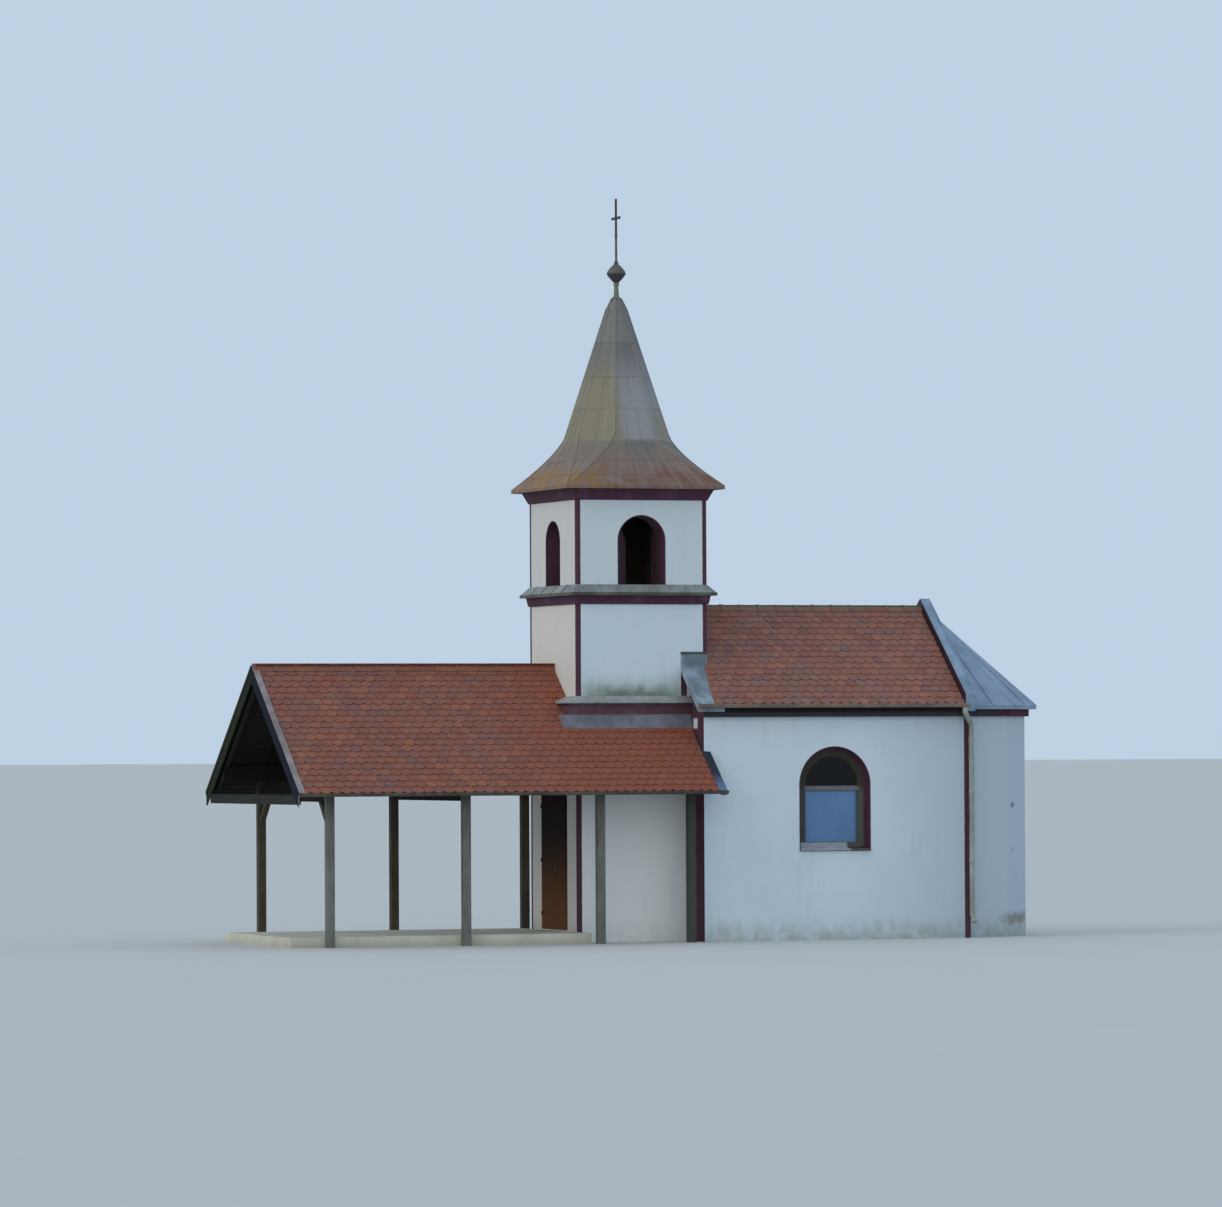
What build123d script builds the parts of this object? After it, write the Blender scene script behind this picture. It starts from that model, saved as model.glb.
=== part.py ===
from build123d import *
import os
from math import cos, pi, radians, sin, sqrt, tan

# Small rendered chapel: timber porch, bell tower with a broach spire, nave and polygonal apse.
# Millimetres, +X along the chapel from the porch to the apse, +Y across it, +Z up.
# Every height is above the lowest ground that a wall or post reaches.
# Lengths along X are set out from the middle of the tower, and the model is centred at the end.

# Ground floor
porch_floor_top = 180
inner_floor_top = 200

# Tower
tower_width = 2400
tower_wall = 450
tower_deck_level = 6000
belfry_height = 1840
belfry_deck_thickness = 120
belfry_sill_height = 150
belfry_spring_height = 930
belfry_wide_opening = 850
belfry_narrow_opening = 710

# Doorway in the tower and the archway behind it
doorway_width = 1330
doorway_head = 2600
archway_width = 1330
archway_head = 2600

# Tower bands and flashings
mid_band_drop = 170
mid_band_height = 160
mid_band_foot = 30
mid_band_projection = 60
mid_flashing_drip = 20
mid_flashing_height = 170
mid_flashing_overhang = 135
flashing_edge_height = 25
flashing_upstand = 8
eaves_band_height = 210
eaves_band_foot = 20
eaves_band_projection = 120
base_band_bottom = 3925
base_band_height = 195
base_band_projection = 50
base_band_west_reach = 180
base_ledge_height = 125
base_ledge_overhang = 140
base_ledge_west_reach = 250
base_apron_spread = 130
base_apron_west_reach = 300

# Spire
spire_eave_half = 1440
spire_eave_edge = 40
spire_flare_height = 960
spire_bend_radius = 890
spire_needle_height = 2390
spire_shoulder_drop = 200
spire_shoulder_radius = 178
spire_top_radius = 80
spire_shell = 90
spire_flare_power = 1.38
spire_flare_steps = 5
spire_eave_corner_cut = 6
spire_hollow_tip = 8

# Finial and cross
neck_radius = 48
neck_waist = 36
neck_height = 280
orb_radius = 168
orb_height = 330
orb_belt_height = 52
orb_cap_radius = 32
orb_cap_height = 40
rod_radius = 20
rod_height = 500
cross_height = 640
cross_arm_height = 300
cross_arm_half = 200
cross_bar_depth = 44
cross_bar_thickness = 26

# Nave
nave_west_face = 880
nave_length = 4980
nave_width = 3700
nave_wall = 400
nave_ridge_level = 5800
nave_pitch = 39.8
nave_eave_overhang = 190
nave_roof_thickness = 140
nave_tile_end_inset = 150
nave_west_sheet_overhang = 165
nave_west_upstand = 200
nave_band_bottom = 3870
nave_band_inset = 80
chancel_arch_width = 2300
chancel_arch_spring = 2500

# Nave windows
window_width = 1300
window_spring = 2690
window_sill = 1550
window_centre = 3317
window_recess = 150
window_frame_depth = 70
window_outer_frame = 60
window_stile = 95
window_sill_rise = 60
window_bottom_rail = 80
window_transom_bottom = 2590
window_transom_height = 80
glass_thickness = 10
sill_overhang = 45
sill_edge_height = 30

# Raised verge at the east gable
east_verge_width = 180
east_verge_rise = 170

# Apse
apse_wall_radius = 1710
apse_wall = 380
apse_sides = 6
apse_eave_radius = 1920
apse_eave_level = 4055
apse_apex_level = 5770
apse_roof_thickness = 60
apse_band_radius = 1790

# Porch
porch_length = 5475
porch_ridge_level = 4750
porch_pitch = 38.8
porch_eave_reach = 2660
porch_roof_thickness = 80
rafter_depth = 100
rafter_width = 80
rafter_spacing = 800
rafter_reach = 2450
post_size = 140
post_row = 1950
post_places = [-5920, -3490, -1060, 600]
plate_bottom = 2800
tie_beam_bottom = 2460
tie_beam_height = 140
tie_beam_posts = 2
gable_tie_bottom = 2420
gable_tie_height = 160
gable_tie_reach = 2500
ridge_beam_width = 120
ridge_beam_height = 180
king_post_size = 120
brace_size = 90
brace_foot = 2050
beam_end_inset = 60
porch_floor_inset = 80
verge_thickness = 25
verge_height = 230
verge_lip_thickness = 14
east_verge_reach = 120

# Gutters and downpipes
nave_gutter_radius = 62
porch_gutter_radius = 50
gutter_sheet = 6
gutter_drop = 10
gutter_end_reach = 40
downpipe_radius = 45
downpipe_offset = 30
downpipe_outlet_inset = 40
downpipe_outlet_drop = 80
downpipe_neck_drop = 230
downpipe_bottom = 280
downpipe_shoe_rise = 120
downpipe_shoe_reach = 100
pipe_clip_levels = [700, 1900, 3100]
pipe_clip_height = 30
pipe_clip_width = 24

# Ridge tiles
ridge_tile_radius = 95
ridge_tile_thickness = 30

# Door
door_frame_width = 60
door_frame_depth = 100
leaf_thickness = 50
leaf_gap = 5
leaf_floor_gap = 10
hinge_offset = 20
hinge_pin_radius = 8
hinge_eye_radius = 14
hinge_clearance = 0.3
hinge_eye_height = 36
hinge_levels = [450, 1380, 2310]
hinge_strap_length = 380
hinge_strap_thickness = 12
pintle_arm_height = 18
pintle_arm_reach = 46
pintle_arm_half = 6
pintle_boss_wall = 3
pintle_pin_stand = 8

# Derived places, still counted from the middle of the tower
half_tower = tower_width / 2
inner_tower = half_tower - tower_wall
tower_wall_top = tower_deck_level + belfry_height
belfry_sill = tower_deck_level + belfry_sill_height
belfry_spring = tower_deck_level + belfry_spring_height
base_band_top = base_band_bottom + base_band_height
base_ledge_top = base_band_top + base_ledge_height
spire_bend = tower_wall_top + spire_flare_height
spire_top = spire_bend + spire_needle_height
neck_top = spire_top + neck_height
cross_foot = neck_top + orb_height + rod_height
half_nave = nave_width / 2
inner_nave = half_nave - nave_wall
nave_eave_reach = half_nave + nave_eave_overhang
nave_band_reach = nave_eave_reach - nave_band_inset
nave_east_face = nave_west_face + nave_length
nave_tile_end = nave_east_face - nave_tile_end_inset
porch_west_end = -half_tower - porch_length
apse_east_end = nave_east_face + apse_eave_radius
model_shift = -(porch_west_end - verge_thickness + apse_east_end) / 2

os.makedirs("parts", exist_ok=True)


def save(name, *shapes):
    """Write one sub-part, moved so that the model is centred on its length."""
    solids = [Pos(model_shift, 0, 0) * shape for shape in shapes]
    whole = solids[0] if len(solids) == 1 else Compound(children=solids)
    export_step(whole, f"parts/{name}.step")


def block(x0, x1, y0, y1, z0, z1):
    """A square-cornered block between two corners."""
    return Pos((x0 + x1) / 2, (y0 + y1) / 2, (z0 + z1) / 2) * Box(abs(x1 - x0), abs(y1 - y0), abs(z1 - z0))


def along_x(points, x0, x1):
    """A prism along X from an outline of (y, z) points."""
    face = make_face(Polyline(*[(x0, y, z) for y, z in points], close=True))
    return extrude(face, amount=x1 - x0, dir=(1, 0, 0))


def along_y(points, y0, y1):
    """A prism along Y from an outline of (x, z) points."""
    face = make_face(Polyline(*[(x, y0, z) for x, z in points], close=True))
    return extrude(face, amount=y1 - y0, dir=(0, 1, 0))


def north_of(shape):
    """The mirror image of a south piece."""
    return mirror(shape, about=Plane.XZ)


def save_pair(name, south_shape):
    """Write a south piece and its mirror image as two sub-parts."""
    save(f"{name}_south", south_shape)
    save(f"{name}_north", north_of(south_shape))


def save_both(name, *south_shapes):
    """Write south pieces and their mirror images as one sub-part."""
    save(name, *south_shapes, *[north_of(shape) for shape in south_shapes])


# Roof planes

def nave_top(reach):
    """Height of the nave's tiles at a distance from the ridge line."""
    return nave_ridge_level - reach * tan(radians(nave_pitch))


def nave_under(reach):
    return nave_top(reach) - nave_roof_thickness


def porch_top(reach):
    """Height of the porch's tiles at a distance from the ridge line."""
    return porch_ridge_level - reach * tan(radians(porch_pitch))


def porch_under(reach):
    return porch_top(reach) - porch_roof_thickness


def rafter_under(reach):
    return porch_under(reach) - rafter_depth


def roof_slab(top, under, x0, x1, inner, outer):
    """The south slope of a roof between two distances from its ridge."""
    outline = [(-inner, top(inner)), (-outer, top(outer)), (-outer, under(outer)), (-inner, under(inner))]
    return along_x(outline, x0, x1)


# Openings with round heads

def arch_cutter(width, sill, spring, centre, depth):
    """A round-headed cutter that runs through a wall facing south or north."""
    radius = width / 2
    body = Pos(centre, 0, (sill + spring) / 2) * Box(width, depth, spring - sill)
    head = Pos(centre, 0, spring) * Rot(90, 0, 0) * Cylinder(radius, depth)
    return body + head


# Tower walls

def lower_tower():
    """The tower below the bell chamber, split beside and over its two doorways."""
    west_jamb = block(-half_tower, -inner_tower, -half_tower, -doorway_width / 2, 0, doorway_head)
    save_pair("tower_west_wall", west_jamb)
    save("tower_west_wall_over_door",
         block(-half_tower, -inner_tower, -half_tower, half_tower, doorway_head, tower_deck_level))
    east_jamb = block(inner_tower, half_tower, -half_tower, -archway_width / 2, 0, archway_head)
    save_both("tower_east_wall_jambs", east_jamb)
    save("tower_east_wall_over_archway",
         block(inner_tower, half_tower, -half_tower, half_tower, archway_head, tower_deck_level))
    side = block(-inner_tower, inner_tower, -half_tower, -inner_tower, 0, tower_deck_level)
    save("tower_south_wall", side)
    save("tower_north_wall", north_of(side))


def belfry():
    """Four walls with round-headed bell openings on the deck level."""
    south = block(-inner_tower, inner_tower, -half_tower, -inner_tower, tower_deck_level, tower_wall_top)
    through = Pos(0, -half_tower, 0) * arch_cutter(
        belfry_wide_opening, belfry_sill, belfry_spring, 0, 3 * tower_wall
    )
    south = south - through
    save("belfry_south_wall", south)
    save("belfry_north_wall", north_of(south))
    west = block(-half_tower, -inner_tower, -half_tower, half_tower, tower_deck_level, tower_wall_top)
    narrow = arch_cutter(belfry_narrow_opening, belfry_sill, belfry_spring, 0, 3 * tower_wall)
    west = west - Pos(-half_tower, 0, 0) * Rot(0, 0, 90) * narrow
    save("belfry_west_wall", west)
    save("belfry_east_wall", mirror(west, about=Plane.YZ))
    deck = block(-inner_tower, inner_tower, -inner_tower, inner_tower,
                 tower_deck_level - belfry_deck_thickness, tower_deck_level)
    save("belfry_floor", deck)


def square_ring(outer_bottom, outer_top, inner, z0, z1):
    """A ring round the tower whose outer faces may slope."""
    sections = [Pos(0, 0, z0) * Rectangle(2 * outer_bottom, 2 * outer_bottom),
                Pos(0, 0, z1) * Rectangle(2 * outer_top, 2 * outer_top)]
    solid = loft(sections, ruled=True)
    return solid - Pos(0, 0, (z0 + z1) / 2) * Box(2 * inner, 2 * inner, 2 * (z1 - z0))


def tower_bands():
    """The band and sheet-metal skirt at the bell chamber, and the band under the spire."""
    band_bottom = tower_deck_level - mid_band_drop
    band_top = band_bottom + mid_band_height
    band = square_ring(half_tower + mid_band_foot, half_tower + mid_band_projection, half_tower,
                       band_bottom, band_top)
    save("tower_mid_band", band)
    edge = half_tower + mid_flashing_overhang
    drip_top = band_top + mid_flashing_drip + flashing_edge_height
    drip = square_ring(edge, edge, half_tower, band_top, drip_top)
    skirt = square_ring(edge, half_tower + flashing_upstand, half_tower, drip_top,
                        tower_deck_level + mid_flashing_height)
    save("tower_mid_flashing", drip + skirt)
    eaves = square_ring(half_tower + eaves_band_foot, half_tower + eaves_band_projection, half_tower,
                        tower_wall_top - eaves_band_height, tower_wall_top)
    save("tower_eaves_band", eaves)


def roof_meets(level):
    """Distance from the porch's ridge line at which its tiles reach a level."""
    return (porch_ridge_level - level) / tan(radians(porch_pitch))


def corner_course(south_reach, west_reach, bottom, edge, top):
    """A course on the tower's south face that turns the west corner and dies into the porch roof.

    Its upper face slopes from the edge level at the rim to the top level at the wall."""
    west = -half_tower - west_reach
    south = -half_tower - south_reach
    last = -roof_meets(top)
    run = block(west, nave_west_face, south, -half_tower, bottom, top)
    turn = block(west, -half_tower, south, last, bottom, top)
    porch_space = along_x([(south, porch_top(-south)), (last, top), (last, 0), (south, 0)], west, -half_tower)
    course = run + turn - porch_space
    if edge < top:
        course = course - along_x([(south, edge), (-half_tower, top), (south, top)], west, nave_west_face)
        course = course - along_y([(west, edge), (-half_tower, top), (west, top)], south, last)
    return course


def base_cornices():
    """The ledge, band and apron where the tower rises through the porch roof."""
    face = -half_tower
    band = corner_course(base_band_projection, base_band_west_reach, base_band_bottom, base_band_top,
                         base_band_top)
    save_both("tower_base_bands", band)
    ledge = corner_course(base_ledge_overhang, base_ledge_west_reach, base_band_top,
                          base_band_top + flashing_edge_height, base_ledge_top)
    foot = half_tower + base_apron_spread
    upper_edge = (face - base_band_projection, base_band_bottom)
    rim = [(-foot, porch_top(foot) + verge_lip_thickness), (-foot, porch_top(foot))]
    beside = along_x([
        (face, base_band_bottom), upper_edge, *rim, (face, porch_top(half_tower)),
    ], face, nave_west_face)
    beyond = along_x([
        (-roof_meets(base_band_bottom), base_band_bottom), upper_edge, *rim,
    ], face - base_apron_west_reach, face)
    save_both("tower_base_flashings", ledge, beside + beyond)


# Spire

def spire_section(half_side, half_chamfer, level):
    """An eight-cornered section: a square whose corners are cut back."""
    quarter = [(half_side, half_chamfer), (half_chamfer, half_side)]
    points = []
    for turn in range(4):
        for x, y in quarter:
            for _ in range(turn):
                x, y = -y, x
            points.append((x, y, level))
    return make_face(Polyline(*points, close=True))


def needle_section(radius, level, inset):
    """A regular eight-sided section of the needle, flat sides to the four winds."""
    half_side = max(radius * cos(pi / 8) - inset, spire_hollow_tip)
    return spire_section(half_side, half_side * tan(pi / 8), level)


def spire_body(inset):
    """The spire from its square eave, through the flare, to the eight-sided needle."""
    bend_half = spire_bend_radius * cos(pi / 8) - inset
    eave_half = spire_eave_half - inset
    bend_chamfer = bend_half * tan(pi / 8)
    eave_chamfer = eave_half - spire_eave_corner_cut
    eave_top = tower_wall_top + spire_eave_edge
    sections = []
    for step in range(spire_flare_steps + 1):
        fall = 1 - step / spire_flare_steps
        share = fall ** spire_flare_power
        half_side = bend_half + share * (eave_half - bend_half)
        half_chamfer = bend_chamfer + share * (eave_chamfer - bend_chamfer)
        level = eave_top + (spire_bend - eave_top) * (1 - fall)
        sections.append(spire_section(half_side, half_chamfer, level - inset))
    sections.append(needle_section(spire_shoulder_radius, spire_top - spire_shoulder_drop - 2 * inset, inset))
    if not inset:
        sections.append(needle_section(spire_top_radius, spire_top, 0))
    return loft(sections, ruled=True)


def spire():
    """A sheet-metal spire on a flat eaves board, hollow above the bell chamber."""
    eave_board = Pos(0, 0, tower_wall_top + spire_eave_edge / 2) * Box(
        2 * spire_eave_half, 2 * spire_eave_half, spire_eave_edge
    )
    foot = Pos(0, 0, tower_wall_top) * Box(2 * inner_tower, 2 * inner_tower, 4 * spire_shell)
    save("spire", eave_board + spire_body(0) - spire_body(spire_shell) - foot)


def finial():
    """Neck, orb and rod turned as one, with a flat cross on the rod."""
    belt = neck_top + orb_height / 2
    orb_top = neck_top + orb_height
    outline = [
        (0, spire_top),
        (neck_radius, spire_top),
        (neck_waist, neck_top),
        (orb_radius, belt - orb_belt_height / 2),
        (orb_radius, belt + orb_belt_height / 2),
        (orb_cap_radius, orb_top),
        (rod_radius, orb_top + orb_cap_height),
        (rod_radius, cross_foot),
        (0, cross_foot),
    ]
    face = make_face(Polyline(*[(r, 0, z) for r, z in outline], close=True))
    save("spire_finial", revolve(face, Axis.Z))
    thick = cross_bar_thickness / 2
    deep = cross_bar_depth / 2
    arm_level = cross_foot + cross_arm_height
    upright = block(-thick, thick, -deep, deep, cross_foot, cross_foot + cross_height)
    arms = block(-thick, thick, -cross_arm_half, cross_arm_half, arm_level - deep, arm_level + deep)
    save("spire_cross", upright + arms)


# Nave

def nave_walls():
    outer, inner = half_nave, inner_nave
    south = along_x([
        (-outer, 0), (-inner, 0), (-inner, nave_under(inner)), (-outer, nave_under(outer)),
    ], nave_west_face, nave_east_face)
    window = Pos(0, -half_nave, 0) * arch_cutter(
        window_width, window_sill, window_spring, window_centre, 3 * nave_wall
    )
    save_pair("nave_wall", south - window)
    shoulder = along_x([
        (-inner, 0), (-half_tower, 0), (-half_tower, nave_under(half_tower)), (-inner, nave_under(inner)),
    ], nave_west_face, inner_tower + tower_wall)
    save_both("nave_west_walls", shoulder)
    gable = along_x([
        (-inner, 0), (inner, 0), (inner, nave_under(inner)), (0, nave_under(0)), (-inner, nave_under(inner)),
    ], nave_east_face - nave_wall, nave_east_face)
    arch = Pos(nave_east_face, 0, 0) * Rot(0, 0, 90) * arch_cutter(
        chancel_arch_width, 0, chancel_arch_spring, 0, 3 * nave_wall
    )
    save("nave_east_wall", gable - arch)


def floors():
    """Floor slabs on the ground, between the walls."""
    passage = block(-half_tower, half_tower, -doorway_width / 2, doorway_width / 2, 0, inner_floor_top)
    room = block(-inner_tower, inner_tower, -inner_tower, inner_tower, 0, inner_floor_top)
    nave = block(half_tower, nave_east_face - nave_wall, -inner_nave, inner_nave, 0, inner_floor_top)
    step = block(nave_east_face - nave_wall, nave_east_face, -chancel_arch_width / 2, chancel_arch_width / 2,
                 0, inner_floor_top)
    apse = extrude(apse_outline(apse_wall_radius - apse_wall), amount=inner_floor_top)
    save("inner_floor", passage + room + nave + step + apse)
    row_face = post_row - post_size / 2
    slab = block(porch_west_end + porch_floor_inset, -half_tower, -row_face, row_face, 0, porch_floor_top)
    save("porch_floor", slab)


def nave_roof():
    slope = roof_slab(nave_top, nave_under, half_tower, nave_tile_end, 0, nave_eave_reach)
    save_pair("nave_roof", slope)
    sheet = roof_slab(nave_top, nave_under, nave_west_face - nave_west_sheet_overhang, half_tower,
                      half_tower, nave_eave_reach)
    upstand = block(nave_west_face - nave_west_sheet_overhang, half_tower, -half_tower - flashing_upstand,
                    -half_tower, nave_under(half_tower), nave_top(half_tower) + nave_west_upstand)
    save_both("nave_west_flashings", sheet + upstand)
    verge_end = nave_tile_end + east_verge_width
    outline = []
    for reach in (nave_eave_reach, 0, -nave_eave_reach):
        outline.append((reach, nave_top(abs(reach)) + east_verge_rise))
    for reach in (-nave_eave_reach, 0, nave_eave_reach):
        outline.append((reach, nave_under(abs(reach))))
    save("nave_east_verge", along_x(outline, nave_tile_end, verge_end))
    save("nave_ridge_tiles", ridge_tiles(nave_ridge_level, half_tower, nave_tile_end, nave_pitch))


def ridge_tiles(level, x0, x1, pitch):
    """A row of round ridge tiles bedded on both slopes."""
    drop = ridge_tile_radius * tan(radians(pitch))
    side = ridge_tile_radius
    crown = level + ridge_tile_thickness
    face = make_face(
        Polyline((x0, side, level - drop), (x0, 0, level), (x0, -side, level - drop))
        + ThreePointArc((x0, -side, level - drop), (x0, 0, crown), (x0, side, level - drop))
    )
    return extrude(face, amount=x1 - x0, dir=(1, 0, 0))


def half_gutter(x0, x1, reach, level, radius):
    """A half-round gutter along an eave, its back edge on the eave's face."""
    centre_y = -reach - radius
    inner = radius - gutter_sheet
    whole = Pos((x0 + x1) / 2, centre_y, level) * Rot(0, 90, 0) * Cylinder(radius, x1 - x0)
    hollow = Pos((x0 + x1) / 2, centre_y, level) * Rot(0, 90, 0) * Cylinder(inner, x1 - x0 - 2 * gutter_sheet)
    upper = block(x0, x1, centre_y - radius, centre_y + radius, level, level + radius)
    return whole - hollow - upper


def nave_eaves():
    """Painted band, gutter and downpipe at the nave's eaves."""
    band = block(nave_west_face, nave_east_face, -nave_band_reach, -half_nave,
                 nave_band_bottom, nave_under(nave_band_reach))
    save_both("nave_eaves_bands", band)
    level = nave_top(nave_eave_reach) - gutter_drop
    gutter = half_gutter(nave_west_face - nave_west_sheet_overhang, nave_tile_end + gutter_end_reach,
                         nave_eave_reach, level, nave_gutter_radius)
    save_both("nave_gutters", gutter)
    save_both("nave_downpipes", downpipe(level - nave_gutter_radius))


def downpipe(outlet_level):
    """A pipe from the gutter's outlet round a swan neck to the nave's corner, with a shoe at its foot."""
    gutter_y = -nave_eave_reach - nave_gutter_radius
    wall_y = -half_nave - downpipe_radius - downpipe_offset
    outlet_x = nave_tile_end - downpipe_outlet_inset
    neck_top_level = outlet_level - downpipe_outlet_drop
    route = [
        (outlet_x, gutter_y, outlet_level),
        (outlet_x, gutter_y, neck_top_level),
        (nave_east_face, wall_y, neck_top_level - downpipe_neck_drop),
        (nave_east_face, wall_y, downpipe_bottom + downpipe_shoe_rise),
        (nave_east_face, wall_y - downpipe_shoe_reach, downpipe_bottom),
    ]
    pipe = None
    for start, end in zip(route, route[1:]):
        run = Vector(*end) - Vector(*start)
        length = Plane(origin=start, z_dir=run) * Cylinder(
            downpipe_radius, run.length, align=(Align.CENTER, Align.CENTER, Align.MIN)
        )
        pipe = length if pipe is None else pipe + length
    for corner in route[1:-1]:
        pipe = pipe + Pos(*corner) * Sphere(downpipe_radius)
    for level in pipe_clip_levels:
        pipe = pipe + block(nave_east_face - pipe_clip_width, nave_east_face, wall_y, -half_nave,
                            level, level + pipe_clip_height)
    return pipe


def windows():
    """Round-headed window: outer frame, sash with transom, two panes and a sill."""
    y_out = -half_nave + window_recess
    y_mid = y_out + window_frame_depth / 2
    radius = window_width / 2
    frame_bottom = window_sill + window_sill_rise

    def slice_of(width, bottom, depth):
        return Pos(0, y_mid, 0) * arch_cutter(width, bottom, window_spring, window_centre, depth)

    outer = slice_of(window_width, frame_bottom, window_frame_depth)
    sash_width = window_width - 2 * window_outer_frame
    light_width = sash_width - 2 * window_stile
    light = slice_of(light_width, frame_bottom + window_bottom_rail, 2 * window_frame_depth)
    transom = block(window_centre - radius, window_centre + radius,
                    y_mid - window_frame_depth, y_mid + window_frame_depth,
                    window_transom_bottom, window_transom_bottom + window_transom_height)
    sash = slice_of(sash_width, frame_bottom, window_frame_depth)
    rim = outer - sash
    sash_frame = sash - (light - transom)
    save_both("nave_window_frames", rim)
    save_both("nave_window_sashes", sash_frame)
    panes = slice_of(light_width, frame_bottom + window_bottom_rail, glass_thickness) - transom
    save_both("nave_window_panes", *panes.solids())
    sill = along_x([
        (-half_nave - sill_overhang, window_sill),
        (y_out + window_frame_depth, window_sill),
        (y_out + window_frame_depth, frame_bottom),
        (y_out, frame_bottom),
        (-half_nave - sill_overhang, window_sill + sill_edge_height),
    ], window_centre - radius, window_centre + radius)
    save_both("nave_window_sills", sill)


# Apse

def apse_corner(radius, index):
    """A corner of the half polygon, counted from the south end."""
    angle = radians(-90 + index * 180 / apse_sides)
    return (nave_east_face + radius * cos(angle), radius * sin(angle))


def apse_outline(radius):
    """The half polygon in plan, closed along the nave's east face."""
    points = [apse_corner(radius, index) for index in range(apse_sides + 1)]
    return make_face(Polyline(*[(x, y, 0) for x, y in points], close=True))


def apse_pyramid(apex, slope):
    """Half of a many-sided pyramid from the ground up to the apex."""
    base = apse_outline(apex / slope)
    tip = 0.5
    crown = Pos(0, 0, apex - tip * slope) * make_face(
        Polyline(*[(*apse_corner(tip, index), 0) for index in range(apse_sides + 1)], close=True)
    )
    return loft([base, crown], ruled=True)


def apse():
    slope = (apse_apex_level - apse_eave_level) / apse_eave_radius
    upper = apse_pyramid(apse_apex_level, slope)
    under = apse_pyramid(apse_apex_level - apse_roof_thickness, slope)
    eave_low = apse_eave_level - apse_roof_thickness
    cover = Pos(0, 0, eave_low) * extrude(apse_outline(apse_eave_radius), amount=apse_apex_level)
    verge_end = nave_tile_end + east_verge_width
    behind_verge = block(nave_tile_end, verge_end, -apse_eave_radius, apse_eave_radius, 0, apse_apex_level)
    save("apse_roof", (upper & cover) - under - behind_verge)
    walls = []
    for index in range(apse_sides):
        corners = [apse_corner(apse_wall_radius, index), apse_corner(apse_wall_radius, index + 1),
                   apse_corner(apse_wall_radius - apse_wall, index + 1),
                   apse_corner(apse_wall_radius - apse_wall, index)]
        face = make_face(Polyline(*[(x, y, 0) for x, y in corners], close=True))
        wall = extrude(face, amount=apse_apex_level) & under
        walls.append(wall)
    save("apse_shoulder_walls", walls[0], walls[-1])
    save("apse_flank_walls", walls[1], walls[-2])
    save("apse_end_wall", walls[2] + walls[-3])
    ring = extrude(apse_outline(apse_band_radius), amount=apse_apex_level) - extrude(
        apse_outline(apse_wall_radius), amount=apse_apex_level)
    low = Pos(0, 0, nave_band_bottom) * extrude(apse_outline(2 * apse_eave_radius), amount=apse_apex_level)
    save("apse_eaves_band", (ring & low) & under)


# Porch

def porch_frame():
    """Posts, wall plates, tie beams, king posts, gable tie, ridge beam and braces."""
    half = post_size / 2
    near, far = post_row - half, post_row + half
    posts = [block(x - half, x + half, -far, -near, 0, plate_bottom) for x in post_places]
    save("porch_posts_south", *posts)
    save("porch_posts_north", *[north_of(post) for post in posts])
    plate = along_x([
        (-far, plate_bottom), (-near, plate_bottom), (-near, rafter_under(near)), (-far, rafter_under(far)),
    ], porch_west_end + beam_end_inset, nave_west_face)
    save_both("porch_wall_plates", plate)
    beam_half = ridge_beam_width / 2
    beam_low = porch_under(0) - ridge_beam_height
    ridge_beam = along_x([
        (-beam_half, beam_low), (beam_half, beam_low), (beam_half, porch_under(beam_half)),
        (0, porch_under(0)), (-beam_half, porch_under(beam_half)),
    ], porch_west_end + beam_end_inset, -half_tower)
    save("porch_ridge_beam", ridge_beam)
    king = king_post_size / 2
    trusses = []
    for x in post_places[:tie_beam_posts]:
        tie_beam = block(x - half, x + half, -near, near, tie_beam_bottom, tie_beam_bottom + tie_beam_height)
        king_post = block(x - king, x + king, -king, king, tie_beam_bottom + tie_beam_height, beam_low)
        trusses.append(tie_beam + king_post)
    gable_tie = block(porch_west_end, porch_west_end + rafter_width, -gable_tie_reach, gable_tie_reach,
                      gable_tie_bottom, gable_tie_bottom + gable_tie_height)
    save("porch_trusses", *trusses, gable_tie)
    deep = brace_size * sqrt(2)
    rise = tie_beam_bottom - brace_foot
    first = post_places[0]
    brace = along_x([
        (-near, brace_foot), (-near, brace_foot + deep),
        (-near + rise - deep, tie_beam_bottom), (-near + rise, tie_beam_bottom),
    ], first - brace_size / 2, first + brace_size / 2)
    save_both("porch_braces", brace)


def porch_roof():
    slope = roof_slab(porch_top, porch_under, porch_west_end, -half_tower, 0, porch_eave_reach)
    save_pair("porch_roof", slope)
    beside = roof_slab(porch_top, porch_under, -half_tower, nave_west_face, half_tower, porch_eave_reach)
    save_both("porch_side_roofs", beside)
    rafters = []
    place = porch_west_end + rafter_width
    while place < nave_west_face - rafter_width:
        beside_tower = place + rafter_width > -half_tower
        inner = half_tower if beside_tower else ridge_beam_width / 2
        rafters.append(roof_slab(porch_under, rafter_under, place, place + rafter_width, inner, rafter_reach))
        place += rafter_spacing
    save("porch_rafters_south", *rafters)
    save("porch_rafters_north", *[north_of(rafter) for rafter in rafters])
    save("porch_ridge_tiles", ridge_tiles(porch_ridge_level, porch_west_end, -half_tower, porch_pitch))
    reach = porch_eave_reach
    outline = [
        (reach, porch_top(reach) + verge_lip_thickness), (0, porch_top(0) + verge_lip_thickness),
        (-reach, porch_top(reach) + verge_lip_thickness), (-reach, porch_top(reach) - verge_height),
        (0, porch_top(0) - verge_height), (reach, porch_top(reach) - verge_height),
    ]
    board = along_x(outline, porch_west_end - verge_thickness, porch_west_end)
    edge = roof_slab(lambda r: porch_top(r) + verge_lip_thickness, porch_under, nave_west_face,
                     nave_west_face + east_verge_reach, half_nave, porch_eave_reach)
    save("porch_verges", board, edge, north_of(edge))
    level = porch_top(porch_eave_reach) - gutter_drop
    gutter = half_gutter(porch_west_end, nave_west_face + east_verge_reach, porch_eave_reach, level,
                         porch_gutter_radius)
    save_both("porch_gutters", gutter)


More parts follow.
